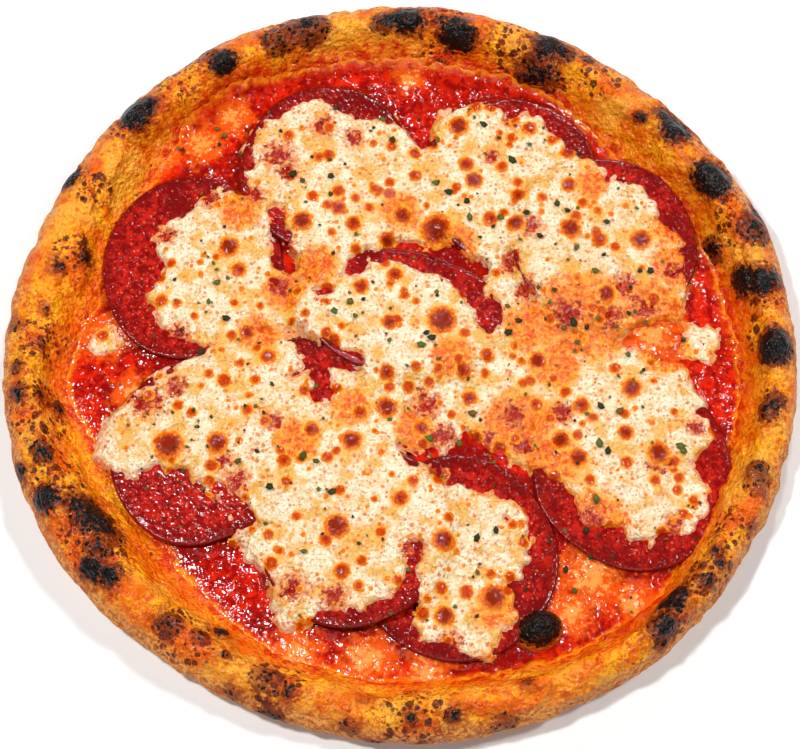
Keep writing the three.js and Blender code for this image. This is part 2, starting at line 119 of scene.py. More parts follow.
def noise(points, size, seed=0):
    """Smooth values, mostly from -1 to 1, that change over `size` millimetres."""
    place = points @ TILTED_AXES / size + SEED_STEP * (seed + 1)
    low = np.floor(place).astype(np.int64)
    part = place - low
    ease = part**3 * (part * (6 * part - 15) + 10)
    total = 0
    for corner in itertools.product((0, 1), repeat=3):
        at = low + corner
        across, along, up = (at[..., axis] * SCRAMBLERS[axis] for axis in range(3))
        key = across ^ along ^ up
        key = (key ^ (key >> 13)) * LAST_SCRAMBLER
        slope = np.stack([(key >> shift) & 255 for shift in (8, 16, 24)], axis=-1) / 127.5 - 1
        near = np.prod(np.where(corner, ease, 1 - ease), axis=-1)
        total = total + near * np.sum(slope * (part - corner), axis=-1)
    return LIVELINESS * total


def layers(points, *waves):
    """Noise of several sizes on top of each other: each wave is a height, a size and a seed."""
    return sum(height * noise(points, size, seed) for height, size, seed in waves)


def flat_points(x, y):
    return np.stack([x, y, np.zeros_like(x)], axis=-1)


# %% Spots
def spot_field(points, centres, radii):
    """1 in the middle of the nearest spot, 0 at its edge, below 0 outside."""
    field = np.full(points.shape[:-1], -2.0)
    for centre, radius in zip(centres, radii):
        away = np.linalg.norm(points - centre, axis=-1)
        field = np.maximum(field, 1 - away / radius)
    return field


def as_seen(points):
    """Where the camera sees points on the level of the toppings, 8 mm above the table, counted
    from a middle 8 mm further down: the grid that the tables of spots are read on."""
    reach = (EYE[2] - LOOK_AT[2]) / (EYE[2] - points[..., 2])
    flat = EYE[:2] + (points[..., :2] - EYE[:2]) * reach[..., None]
    return flat - LOOK_AT[:2]


def below_sight(seen, height):
    """The point at a height that the camera sees at a place of that grid."""
    flat = np.asarray(seen) + LOOK_AT[:2]
    return EYE[:2] + (flat - EYE[:2]) * ((EYE[2] - height) / (EYE[2] - LOOK_AT[2]))[..., None]


# %% [markdown]
# ## Making a piece
#
# A mesh in Blender is a list of points and a list of faces. Masks travel with it as point
# attributes, plain numbers that a material can read. Each piece says which CAD nodes it stands
# for and which finish it takes, so all of that is done in one helper.

# %% Mesh helper
def add_piece(name, points, faces, material, masks=(), nodes=()):
    mesh = bpy.data.meshes.new(name)
    mesh.from_pydata(((points.reshape(-1, 3) + MIDDLE) * MM).tolist(), [], faces)
    for mask, values in dict(masks).items():
        layer = mesh.attributes.new(mask, "FLOAT", "POINT")
        layer.data.foreach_set("value", np.asarray(values, np.float32).ravel())
    mesh.materials.append(material)
    mesh.shade_smooth()
    piece = bpy.data.objects.new(name, mesh)
    bpy.context.collection.objects.link(piece)
    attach(piece, "root")
    if nodes:
        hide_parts(*nodes)
    print(f"{name}: {len(mesh.vertices)} points, {len(mesh.polygons)} faces")
    return piece


def skin_faces(rings, steps):
    """Faces over rings of points, closed by one point before them and one after them."""
    first = 1 + np.arange(rings - 1)[:, None] * steps
    here = first + np.arange(steps)
    there = first + (np.arange(steps) + 1) % steps
    quads = np.stack([here, there, there + steps, here + steps], axis=-1).reshape(-1, 4)
    last = 1 + rings * steps
    fans = []
    for i in range(steps):
        j = (i + 1) % steps
        fans.append((0, 1 + j, 1 + i))
        fans.append((last - steps + i, last - steps + j, last))
    return quads.tolist() + fans


# %% [markdown]
# ## Wiring materials
#
# A material is a small graph of nodes. It can be drawn with the mouse, but in a script it is
# shorter and clearer to have one function that adds a node and fills its sockets, and a few
# that stand for what is used over and over: a sum, a cut between two levels, a blend of two
# colours under a mask.

# %% Node helpers
class Nodes:
    """The nodes of one material or group, wired together as they are added."""

    def __init__(self, tree):
        self.tree = tree

    def fill(self, socket, value):
        if isinstance(value, bpy.types.NodeSocket):
            self.tree.links.new(value, socket)
        else:
            socket.default_value = value

    def add(self, kind, sockets=(), **settings):
        node = self.tree.nodes.new(f"ShaderNode{kind}")
        for name, value in settings.items():
            setattr(node, name, value)
        for key, value in dict(sockets).items():
            self.fill(node.inputs[key], value)
        return node

    def maths(self, operation, a, b=0.0, clamp=False):
        return self.add("Math", {0: a, 1: b}, operation=operation, use_clamp=clamp).outputs[0]

    def cut(self, value, low, high):
        """0 where value is below low, 1 above high, and smooth between."""
        sockets = {"Value": value, "From Min": low, "From Max": high}
        return self.add("MapRange", sockets, interpolation_type="SMOOTHSTEP").outputs[0]

    def blend(self, mask, below, above):
        return self.add("Mix", {0: mask, 6: below, 7: above}, data_type="RGBA").outputs[2]

    def blend_value(self, mask, below, above):
        return self.add("Mix", {0: mask, 2: below, 3: above}, data_type="FLOAT").outputs[0]

    def shift(self, value, plus=0.0, times=1.0):
        return self.maths("ADD", self.maths("MULTIPLY", value, times), plus)

    def mask(self, name, plus=0.0, times=1.0):
        """A mask that the mesh carries, stretched and shifted as asked."""
        value = self.add("Attribute", attribute_name=name).outputs["Fac"]
        return self.shift(value, plus, times)

    def on_the_piece(self, kind, scale, **sockets):
        """A texture that is fixed to the piece, with so many grains or cells to a metre."""
        place = self.add("TexCoord").outputs["Object"]
        return self.add(kind, {"Vector": place, "Scale": scale, **sockets})

    def noise(self, scale, detail, roughness=0.5, distortion=0.0):
        return self.on_the_piece("TexNoise", scale, Detail=detail, Roughness=roughness,
                                 Distortion=distortion).outputs[0]

    def per_metre(self, size_mm):
        return self.maths("DIVIDE", 1 / MM, size_mm)


# %% [markdown]
# ## Three shared effects
#
# Burnt spots, sauce stains, thin cheese and oil all have ragged edges, so one node group frays
# the edge of any mask. Speckles on the rim, pale specks in the salami, partly fat and partly
# painted glints, and tiny flecks on the cheese are all dots of uneven size, so a second group
# scatters dots. A third gives the fine relief that catches the light. A group keeps such an
# effect in one place, and each material sets its own sizes. Groups hold only masks and heights:
# the shaders stay in the materials.

# %% Node groups
def new_group(name, inputs, output):
    """An empty group: its nodes, its input sockets, and the function that sets its output."""
    tree = bpy.data.node_groups.new(name, "ShaderNodeTree")
    for label, value in inputs.items():
        socket = tree.interface.new_socket(
            name=label, in_out="INPUT", socket_type="NodeSocketFloat")
        socket.default_value = value
    tree.interface.new_socket(name=output, in_out="OUTPUT", socket_type="NodeSocketFloat")
    given = tree.nodes.new("NodeGroupInput").outputs
    result = tree.nodes.new("NodeGroupOutput").inputs[output]
    return Nodes(tree), given, result


def frayed_edge():
    nodes, given, result = new_group(
        "frayed_edge", {"Mask": 0.0, "Grain mm": 3.0, "Bite": 0.6, "Softness": 0.1}, "Mask")
    grains = nodes.noise(nodes.per_metre(given["Grain mm"]), 4.0, 0.6)
    eaten = nodes.maths("MULTIPLY", nodes.maths("SUBTRACT", grains, 0.5), given["Bite"])
    bitten = nodes.maths("ADD", given["Mask"], eaten)
    low = nodes.maths("SUBTRACT", 0.0, given["Softness"])
    nodes.fill(result, nodes.cut(bitten, low, given["Softness"]))
    return nodes.tree


def scattered_dots():
    """Each cell draws its own radius, and whether it has a dot at all."""
    nodes, given, result = new_group(
        "scattered_dots", {"Spacing mm": 3.0, "Radius": 0.3, "Share": 0.5}, "Mask")
    cells = nodes.on_the_piece("TexVoronoi", nodes.per_metre(given["Spacing mm"]))
    draws = nodes.add("SeparateColor", {0: cells.outputs["Color"]}).outputs
    reach = nodes.maths("MULTIPLY", given["Radius"], nodes.maths("ADD", 0.5, draws[0]))
    core = nodes.maths("MULTIPLY", reach, 0.6)
    disc = nodes.maths("SUBTRACT", 1.0, nodes.cut(cells.outputs["Distance"], core, reach))
    chosen = nodes.maths("LESS_THAN", draws[1], given["Share"])
    nodes.fill(result, nodes.maths("MULTIPLY", disc, chosen))
    return nodes.tree


def fine_relief():
    """Soft grain, and a round drop in six cells of ten whose top bends with a set radius."""
    nodes, given, result = new_group(
        "fine_relief",
        {"Grain mm": 2.5, "Grain height": 0.5, "Drops mm": 2.0, "Drop bend mm": 2.0}, "Height")
    grains = nodes.noise(nodes.per_metre(given["Grain mm"]), 1.5, 0.4)
    cells = nodes.on_the_piece("TexVoronoi", nodes.per_metre(given["Drops mm"]))
    draws = nodes.add("SeparateColor", {0: cells.outputs["Color"]}).outputs
    reach = nodes.maths("ADD", 0.2, nodes.maths("MULTIPLY", draws[1], 0.25))
    away = cells.outputs["Distance"]
    cap = nodes.maths("SUBTRACT", nodes.maths("MULTIPLY", reach, reach),
                      nodes.maths("MULTIPLY", away, away), clamp=True)
    cap = nodes.maths("MULTIPLY", cap, nodes.maths("LESS_THAN", draws[0], 0.6))
    steepness = nodes.maths(
        "DIVIDE", nodes.maths("MULTIPLY", given["Drops mm"], given["Drops mm"]),
        nodes.maths("MULTIPLY", given["Drop bend mm"], 2.0))
    nodes.fill(result, nodes.maths(
        "ADD", nodes.maths("MULTIPLY", grains, given["Grain height"]),
        nodes.maths("MULTIPLY", cap, steepness)))
    return nodes.tree


FRAYED_EDGE, SCATTERED_DOTS, FINE_RELIEF = frayed_edge(), scattered_dots(), fine_relief()
print("groups:", ", ".join(group.name for group in (FRAYED_EDGE, SCATTERED_DOTS, FINE_RELIEF)))


# %% [markdown]
# ## Colour in glazes
#
# Food has no single colour: a baked edge is gold under brown under black. A painter would lay
# such colours one over the last, and so does each material here. It starts from a ground of two
# colours, and each glaze covers a share of what is below it, where its mask says. Colours are
# named per material, and given as a picture gives them, 0 to 255.

# %% A finish
def light_of(red, green, blue):
    """The light that a picture's colour stands for."""
    shares = [value / 255 for value in (red, green, blue)]
    light = [s / 12.92 if s < 0.04045 else ((s + 0.055) / 1.055) ** 2.4 for s in shares]
    return (*light, 1.0)


class Finish(Nodes):
    """A material whose colour is built up in glazes."""

    def __init__(self, name, colours):
        self.material = bpy.data.materials.new(name)
        self.material.use_nodes = True
        super().__init__(self.material.node_tree)
        self.shader = self.tree.nodes["Principled BSDF"]
        self.colours = {label: light_of(*colour) for label, colour in colours.items()}

    def two_colours(self, mask, below, above):
        return self.blend(mask, self.colours[below], self.colours[above])

    def glaze(self, mask, colour, share=1.0):
        above = self.colours[colour] if isinstance(colour, str) else colour
        self.colour = self.blend(self.maths("MULTIPLY", mask, share), self.colour, above)

    def use(self, group, *values):
        node = self.tree.nodes.new("ShaderNodeGroup")
        node.node_tree = group
        for socket, value in zip(node.inputs, values):
            self.fill(socket, value)
        return node.outputs[0]

    def frayed(self, mask, grain_mm, bite, softness=0.1):
        return self.use(FRAYED_EDGE, mask, grain_mm, bite, softness)

    def dots(self, spacing_mm, radius, share):
        return self.use(SCATTERED_DOTS, spacing_mm, radius, share)

    def finish(self, roughness, specular, grain, drops):
        """Gives the shader its colour and gloss, and the relief that breaks the light up: grain
        of a size and a height, and drops of a spacing and a bend, all in millimetres."""
        height = self.use(FINE_RELIEF, *grain, *drops)
        relief = self.add("Bump", {"Height": height, "Distance": MM, "Strength": 1.0})
        for socket, value in (("Base Color", self.colour), ("Roughness", roughness),
                              ("Specular IOR Level", specular), ("Normal", relief.outputs[0])):
            self.fill(self.shader.inputs[socket], value)
        return self.material


# %% [markdown]
# ## The rim and the base
#
# The dough is one piece: a thin base that sinks under the sauce, and a rim that puffed up in
# the heat. Its section is swept round the pizza: a flat underside, a bulging outside, a crest,
# and a slope down to the base. Slow lobes change the radius, width and height on the way, as
# the hand-stretched edge does. A lathe would be quicker but perfectly round, and sculpting
# would not follow the CAD solid, so the same named sizes are used here as there.

# %% Sizes of the crust
PIZZA_RADIUS = 150
BASE_THICKNESS = 4
RIM_HEIGHT = 20
RIM_WIDTH = 27
WIDEST_AT = 0.42
CREST_AT = 0.45
UNDERSIDE_INSET = 11
# Slow swellings: direction in degrees, half width in degrees, amount in millimetres.
OUTLINE_LOBES = [(104, 26, 2.6), (240, 26, -3.2), (310, 14, 1.2), (160, 8, -1.2),
                 (62, 5, 0.9), (20, 7, 0.8)]
WIDTH_LOBES = [(165, 14, 8), (217, 14, 6), (42, 14, 4), (90, 12, 2), (352, 12, -4),
               (312, 18, -6), (186, 5, -3)]
HEIGHT_LOBES = [(80, 14, 2), (22, 12, 1.5), (318, 10, 1.5), (210, 12, 1.5), (262, 14, -2),
                (150, 10, -1.5), (120, 12, 1)]


def lobes(table, angle):
    total = 0
    for at, wide, amount in table:
        away = angle - math.radians(at)
        away = np.arctan2(np.sin(away), np.cos(away))
        total = total + amount * np.exp(-((away / math.radians(wide)) ** 2))
    return total


class Rim:
    """The rim's radius, width and height in each direction."""

    def __init__(self, angle):
        self.radius = PIZZA_RADIUS + lobes(OUTLINE_LOBES, angle)
        self.width = RIM_WIDTH + lobes(WIDTH_LOBES, angle)
        self.height = RIM_HEIGHT + lobes(HEIGHT_LOBES, angle)
        self.widest = WIDEST_AT * self.height
        self.crest = self.radius - CREST_AT * self.width
        self.foot = self.radius - self.width


# %% The section of the rim
STEPS = 720
ANGLES = np.arange(STEPS) / STEPS * 2 * math.pi
rim = Rim(ANGLES)
BASE_LEVEL = np.full(STEPS, float(BASE_THICKNESS))


def ring_of(reach, height):
    return np.stack([reach * np.cos(ANGLES), reach * np.sin(ANGLES), height], axis=-1)


def underside_ring(t):
    turn = t * math.pi / 2
    return (rim.radius - UNDERSIDE_INSET * (1 - math.sin(turn)),
            rim.widest * (1 - math.cos(turn)))


def outside_ring(t):
    turn = t * math.pi / 2
    return (mix(rim.radius, rim.crest, 1 - math.cos(turn)),
            mix(rim.widest, rim.height, math.sin(turn)))


def slope_ring(t):
    return (mix(rim.crest, rim.foot, t),
            mix(BASE_THICKNESS, rim.height, 0.5 + 0.5 * math.cos(math.pi * t)))


UNDERSIDE_RINGS, OUTSIDE_RINGS, SLOPE_RINGS = 9, 32, 37
SLOPE_START = UNDERSIDE_RINGS + OUTSIDE_RINGS
section = [underside_ring(t) for t in np.arange(UNDERSIDE_RINGS) / UNDERSIDE_RINGS]
section += [outside_ring(t) for t in np.arange(OUTSIDE_RINGS) / OUTSIDE_RINGS]
section += [slope_ring(t) for t in np.arange(SLOPE_RINGS) / (SLOPE_RINGS - 1)]
# The base is bare beside the rim in places: rings this far in from the foot of the slope.
FLOOR_GAPS = (0.6, 1.4, 2.4, 3.6, 5, 6.5, 8, 10, 13, 17)
section += [(rim.foot - gap, BASE_LEVEL) for gap in FLOOR_GAPS]
reach, height = (np.array(part) for part in zip(*section))
crust_rings = ring_of(reach, height)
outward_flat, outward_up = reach - rim.crest, height - rim.widest
length = np.hypot(outward_flat, outward_up)
slope_share = np.zeros(height.shape)
slope_share[SLOPE_START:SLOPE_START + SLOPE_RINGS] = np.linspace(0, 1, SLOPE_RINGS)[:, None]
slope_width = (1 - CREST_AT) * rim.width
for number, gap in enumerate(FLOOR_GAPS):
    slope_share[SLOPE_START + SLOPE_RINGS + number] = 1 + gap / slope_width
outward = ring_of(outward_flat, outward_up) / length[..., None]
print("rim section:", crust_rings.shape[0], "rings of", STEPS, "points")

# %% [markdown]
# ## Blisters on the rim
#
# Gas bubbles under the skin swell into domes, and the thin skin over them burns first. So the
# same list gives the domes, which push the surface outward, and the burnt spots, which the
# material paints. The list is read off the photograph as the camera sees it, and each place is
# found again on the rim itself, so a blister also looks right from behind.

# %% Burnt blisters: x, y, radius, how burnt, how high
BLISTERS = [
    (3, 157, 6, 1.0, 2.2), (-6, 156, 5, 0.75, 1.2), (22, 148, 7, 1.0, 2.6),
    (16, 157, 2, 0.8, 0.5), (27, 142, 2, 0.8, 0.5), (-38, 153, 8, 0.7, 1.2),
    (-48, 146, 6, 0.6, 1.0), (-71, 136, 5, 1.0, 1.8), (-78, 140, 4, 0.5, 0.8),
    (-105, 113, 6.5, 1.0, 2.0), (-100, 117, 4, 0.9, 1.0), (-130, 84, 5, 1.0, 1.6),
    (60, 144, 6, 0.9, 1.6), (66, 141, 4, 0.8, 1.0), (55, 130, 8, 0.75, 1.4),
    (76, 138, 2.5, 0.8, 0.6), (95, 111, 2.5, 0.8, 1.0), (110, 106, 6, 1.0, 2.2),
    (105, 112, 4, 0.8, 1.2), (122, 84, 7.5, 1.0, 2.2), (120, 52, 4.5, 0.8, 2.0),
    (138, 62, 6.5, 0.7, 1.2), (142, 68, 4, 0.9, 0.8), (131, 39, 5.5, 1.0, 2.2),
    (138, 39, 5, 1.0, 1.8), (144, 41, 4, 0.8, 1.2), (142, 12, 7, 1.0, 2.6),
    (137, -14, 4, 0.7, 1.4), (141, -10, 3, 0.6, 0.8), (132, -38, 4, 0.6, 1.0),
    (133, -43, 5, 0.45, 1.0), (114, -69, 1.6, 0.8, 0.4), (109, -75, 1.5, 0.8, 0.4),
    (117, -74, 2, 0.8, 0.5), (111, -82, 3, 0.7, 0.8), (97, -87, 6.5, 1.0, 2.6),
    (95, -98, 5, 0.85, 1.4), (94, -105, 3, 0.6, 0.8), (45, -118, 1.6, 0.7, 0.4),
    (19, -131, 2.5, 0.8, 1.2), (4, -132, 2, 0.8, 0.5), (-12, -124, 1.2, 0.7, 0.3),
    (-40, -122, 2.2, 0.8, 0.5), (-47, -117, 5, 0.5, 1.0), (-57, -89, 2.4, 1.0, 1.2),
    (-83, -97, 4, 0.65, 1.0), (-71, -101, 3, 0.5, 0.6), (-62, -108, 1.6, 0.7, 0.3),
    (-112, -77, 4.2, 1.0, 1.6), (-106, -78, 4, 0.9, 1.4), (-112, -55, 8, 0.9, 1.4),
    (-105, -62, 5, 0.6, 0.8), (-110, -67, 5, 0.6, 1.0), (-120, -50, 4, 0.5, 0.8),
    (-131, -49, 5, 1.0, 1.6), (-141, -39, 3, 0.9, 1.0), (-133, -31, 4, 0.75, 1.2),
    (-144, -7, 3, 0.8, 0.8), (-134, -8, 1.8, 0.8, 0.4), (-125, -13, 2.6, 0.85, 0.6),
    (-145, 4, 2.5, 0.8, 0.6), (-120, 50, 2.8, 0.85, 0.8), (-131, 46, 2.3, 0.85, 0.6),
    (-135, 27, 1.4, 0.7, 0.3), (-135, 13, 1.6, 0.7, 0.3), (38, -134, 4, 0.45, 0.8),
    (-18, -136, 3, 0.5, 0.6), (-10, -141, 3, 0.45, 0.5), (-45, -131, 4, 0.7, 0.8),
    (130, -62, 3, 0.5, 0.6), (-148, 20, 3, 0.5, 0.5), (-60, -124, 3.5, 0.45, 0.5),
]
# Areas thick with tiny burnt dots: x, y, radius.
FRECKLES = [
    (-43, 150, 17), (-88, 130, 14), (-108, 112, 14), (50, 142, 20), (57, 130, 14),
    (80, 130, 12), (112, 106, 14), (134, 66, 16), (140, 38, 13), (136, 18, 10),
    (138, -12, 10), (112, -77, 14), (95, -95, 14), (5, -132, 16), (-44, -118, 14),
    (-78, -100, 16), (-111, -62, 18), (-133, -14, 18), (-134, 14, 14), (-125, 50, 12),
    (-118, 78, 10), (15, 150, 18), (125, 85, 12), (-125, -40, 16), (120, -60, 12),
]

# %% Find each blister on the rim, and raise it
spots = np.array(BLISTERS, float)
seen_rings = as_seen(crust_rings)
facing = np.einsum("...i,...i", outward, EYE - crust_rings) > 0


def on_rim(places):
    found = []
    for place in places:
        away = np.linalg.norm(seen_rings - place, axis=-1) + np.where(facing, 0, 999)
        found.append(crust_rings.reshape(-1, 3)[np.argmin(away)])
    return np.array(found)


DOME_REACH, DOME_RISE = 1.15, 0.95  # of the radius and the height in the list
SKIN_INSET = 1.0  # the skin starts this far inside, so that the swellings end at the true size
spot_centres = on_rim(spots[:, :2])
push = np.zeros(crust_rings.shape[:2])
for centre, (_, _, radius, _, rise) in zip(spot_centres, BLISTERS):
    away = np.linalg.norm(crust_rings - centre, axis=-1) / (DOME_REACH * radius)
    push = np.maximum(push, DOME_RISE * rise * np.clip(1 - away**2, 0, None))

swells = layers(crust_rings, (1.4, 23, 1), (1.1, 11, 2))
dimples = layers(crust_rings, (1.1, 6, 3), (0.5, 2.8, 4))
bubbles = np.clip(noise(crust_rings, 3.6, 5) - 0.2, 0, None)
above_table = smoothstep(0, 1, height / rim.widest)
push = above_table * (push + swells + dimples + bubbles - SKIN_INSET)
# On the outside the rim keeps within its own radius, so a swelling there levels off.
level_off = -np.log1p(np.exp(-2 * push)) / 2
push = mix(push, level_off, smoothstep(0.3, 0.8, outward_flat / length))
push = np.where(slope_share > 1, 0, push)
crust_rings = crust_rings + push[..., None] * outward
floor_relief = layers(crust_rings, (0.35, 6, 3), (0.15, 2.8, 4))
crust_rings[..., 2] += np.where(slope_share > 1, floor_relief, 0)
print("blisters:", len(BLISTERS), " highest point:", round(crust_rings[..., 2].max(), 1), "mm")

# %% [markdown]
# ## Where the rim is burnt, browned, stained and floury
#
# One material has to show all of these, so the mesh carries a mask for each. A mask is made
# where it is easy to make, on the points, with what is known about the place: the distance to
# a blister, the height on the rim, how near the sauce is. The material then adds the detail
# that is finer than the points.

# %% Masks of the crust
burnt = spot_field(crust_rings, spot_centres, spots[:, 2] * 1.05)
darkness = np.zeros(burnt.shape)
halo = np.zeros(burnt.shape)
for centre, (_, _, radius, dark, _) in zip(spot_centres, BLISTERS):
    away = np.linalg.norm(crust_rings - centre, axis=-1)
    darkness = np.maximum(darkness, dark * (1 - smoothstep(radius + 1, radius + 3, away)))
    halo = np.maximum(halo, dark * np.exp(-((away / (radius + 3)) ** 2)))
freckles = np.array(FRECKLES, float)
freckled = np.clip(spot_field(crust_rings, on_rim(freckles[:, :2]), freckles[:, 2]), 0, 1)

climb = (height - BASE_THICKNESS) / (rim.height - BASE_THICKNESS)
# How much further up the slope the sauce is smeared: direction, half width, share of the slope.
SMEAR_LOBES = [(122, 12, 0.4), (95, 14, 0.22), (176, 7, 0.12), (20, 20, 0.05), (325, 26, 0.08),
               (262, 24, 0.1), (70, 14, 0.2), (206, 15, -0.45), (150, 12, -0.2),
               (232, 10, -0.15), (290, 14, 0.15)]


def sauce_line(points):
    """Where the sauce ends on the slope: 0 is the crest, 1 the foot."""
    return 0.9 - lobes(SMEAR_LOBES, ANGLES) + 0.05 * noise(points, 9, 21)


stained = 0.05 + 1.9 * (slope_share - sauce_line(crust_rings)) + 0.5 * noise(crust_rings, 10, 7)
stained = np.where(slope_share > 0, stained, -1.0)
floury = 1 - smoothstep(0.5, 1.0, climb + 0.14 * noise(crust_rings, 16, 8))
floury[SLOPE_START:] = 0
crust_masks = {"burnt": burnt, "darkness": darkness, "halo": halo, "freckled": freckled,
               "stained": stained, "floury": floury,
               "underside": np.where(height < 0.5, 1.0, 0.0)}
print("crust masks:", ", ".join(crust_masks))

# %% [markdown]
# ## The crust's material
#
# Baked dough is golden where it is oily and toasted, pale and floury low on the outside, brown
# round the blisters, and black on them. One long list of glazes would be hard to read, so they
# are grouped as the oven and the cook lay them: baked, smeared, freckled, burnt. Oily skin is
# glossy, char a little less, and flour is matt.

# %% Crust material
CRUST_COLOURS = dict(
    gold=(255, 168, 22), amber=(236, 102, 4), rust=(214, 82, 4), brown=(146, 44, 4),
    straw=(246, 172, 54), floury=(240, 162, 80), tan=(186, 92, 28), toast=(152, 50, 5),
    warm_oil=(240, 98, 3), sauce=(206, 34, 3), paprika=(214, 66, 6), speck=(74, 18, 5),
    russet=(160, 48, 4), scorch=(112, 38, 8), cinder=(34, 10, 5), soot=(7, 5, 6),
    ember=(62, 20, 10), pale_base=(226, 184, 128), baked_base=(104, 52, 22))
# Three sizes of burnt speck: spacing in mm, radius as a share of it, share of cells with one.
SPECKS = [(2.1, 0.5, 0.5), (3.1, 0.46, 0.4), (5.2, 0.38, 0.4)]


def bake(look, patches, fine):
    """Gold and amber, pale in broad patches, and floury low on the outside."""
    look.colour = look.two_colours(look.cut(patches, 0.4, 0.6), "gold", "amber")
    look.glaze(look.cut(fine, 0.46, 0.66), "rust")
    look.glaze(look.cut(fine, 0.64, 0.76), "brown")
    look.glaze(look.cut(look.noise(48, 3), 0.48, 0.64), "straw", 0.7)
    wall = look.two_colours(look.cut(fine, 0.4, 0.62), "floury", "tan")
    look.glaze(look.frayed(look.mask("floury", -0.5), 9, 0.7, 0.4), wall)
    look.glaze(look.frayed(look.mask("halo", -0.32), 2.4, 1.6, 0.25), "toast", 0.68)


def smear(look):
    """Oil and sauce on the inner slope, and paprika all over."""
    look.glaze(look.frayed(look.mask("stained", 0.45), 5, 1.6, 0.4), "warm_oil", 0.65)
    look.glaze(look.frayed(look.mask("stained", 0.07), 3.4, 2.4, 0.25), "sauce", 0.9)
    look.glaze(look.dots(3.4, 0.4, 0.4), "paprika", 0.6)


def freckle(look, patches, fine):
    crowd = look.maths("ADD", look.mask("freckled"), look.maths("MULTIPLY", patches, 0.6))
    crowd = look.cut(crowd, 0.36, 0.68)
    for spacing, radius, share in SPECKS:
        specks = look.maths("MULTIPLY", look.dots(spacing, radius, share), crowd)
        look.glaze(look.frayed(look.shift(specks, -0.55), 1.3, 2.4, 0.35), "speck", 0.92)
    look.glaze(look.maths("MULTIPLY", crowd, look.cut(fine, 0.5, 0.62)), "russet", 0.8)


def burn(look, fine):
    """Scorched skin round each blister, cinders in it, and char on top. Gives the char's mask."""
    scorched = look.frayed(look.mask("burnt", 0.24), 2.0, 2.4, 0.14)
    scorched = look.maths("MULTIPLY", scorched, look.cut(look.mask("darkness"), 0.0, 0.8))
    look.glaze(scorched, "scorch", 0.85)
    cinders = look.maths("MULTIPLY", look.dots(1.9, 0.5, 0.65), scorched)
    look.glaze(look.frayed(look.shift(cinders, -0.4), 1.2, 1.6, 0.2), "cinder")
    spared = look.mask("darkness", 1.0, -1.0)
    char = look.maths("SUBTRACT", look.mask("burnt"), look.maths("MULTIPLY", spared, 2.0))
    char = look.frayed(char, 2.0, 2.4, 0.09)
    look.glaze(char, look.two_colours(look.cut(fine, 0.52, 0.66), "soot", "ember"))
    return char


def crust_material():
    look = Finish("baked_crust", CRUST_COLOURS)
    patches = look.noise(90, 6, 0.62)
    fine = look.noise(420, 5, 0.65, 1.2)
    bake(look, patches, fine)
    smear(look)
    freckle(look, patches, fine)
    char = burn(look, fine)
    leopard = look.frayed(look.shift(patches, -0.55), 7, 0.7, 0.1)
    look.glaze(look.mask("underside"), look.two_colours(leopard, "pale_base", "baked_base"))
    gloss = look.blend_value(look.mask("floury"), 0.18, 0.6)
    return look.finish(look.blend_value(char, gloss, 0.3), 0.22, grain=(1.5, 1.4),
                       drops=(1.5, 1.4))


# %% Crust piece
baked_crust = crust_material()
centre_rings = [ring_of(share * rim.foot, BASE_LEVEL) for share in (0.6, 0.3)]
all_rings = np.concatenate([crust_rings, np.array(centre_rings)])
crust_points = np.concatenate([[[0, 0, 0]], all_rings.reshape(-1, 3), [[0, 0, BASE_THICKNESS]]])


def padded_mask(name, values):
    """Values for the point below the middle and for the plain base under the sauce too."""
    plain = np.zeros(len(centre_rings) * STEPS + 1)
    return np.concatenate([[float(name == "underside")], values.ravel(), plain])


crust_masks = {name: padded_mask(name, values) for name, values in crust_masks.items()}
add_piece("crust_baked", crust_points, skin_faces(len(all_rings), STEPS), baked_crust,
          crust_masks, ["crust"])

# %% [markdown]
# ## Salami slices: sizes and how they lie
#
# Ten slices of a wide, soft salami lie on the sauce, and five of them lean on the edge of
# another. A leaning slice stays flat and slopes up from its far edge. The same rule gives the
# height of whatever lies highest at a point, which the cheese needs as well, so it is written
# once as a function.

# %% Slices, from the bottom of the pile up
GAP = 0.35
SAUCE_THICKNESS = 1.3
SLICE_THICKNESS = 1.9
SAUCE_TOP = BASE_THICKNESS + GAP + SAUCE_THICKNESS
SLICES = {
    "salami_left": dict(x=-80, y=37, rx=34.5, ry=38.5, turn=0),
    "salami_top_right": dict(x=43, y=74.5, rx=34.5, ry=36.5, turn=0),
    "salami_under_centre": dict(x=-33, y=-15, rx=26, ry=22, turn=-20),
    "salami_right": dict(x=86.5, y=-47, rx=37, ry=38, turn=0),
    "salami_bottom": dict(x=21, y=-80, rx=36, ry=39.5, turn=0),
    "salami_top_left": dict(x=-28, y=79, rx=34.5, ry=37, turn=0, leans_on="salami_left"),
    "salami_right_upper": dict(x=79, y=47, rx=35.5, ry=35, turn=0,
                               leans_on="salami_top_right"),
    "salami_centre": dict(x=1, y=18, rx=39, ry=26, turn=-8, leans_on="salami_under_centre"),
    "salami_left_lower": dict(x=-74, y=-39.5, rx=34, ry=36, turn=0,
                              leans_on="salami_under_centre"),
    "salami_bottom_left": dict(x=-17, y=-71, rx=35, ry=36.5, turn=0,
                               leans_on="salami_bottom"),
}


def slice_axes(slice_):
    turn = math.radians(slice_["turn"])
    return math.cos(turn), math.sin(turn)


def outside_slice(slice_, x, y):
    c, s = slice_axes(slice_)
    u = ((x - slice_["x"]) * c + (y - slice_["y"]) * s) / slice_["rx"]
    v = (-(x - slice_["x"]) * s + (y - slice_["y"]) * c) / slice_["ry"]
    return (np.hypot(u, v) - 1) * min(slice_["rx"], slice_["ry"])


def radius_toward(slice_, dx, dy):
    c, s = slice_axes(slice_)
    return 1 / math.hypot((dx * c + dy * s) / slice_["rx"], (-dx * s + dy * c) / slice_["ry"])


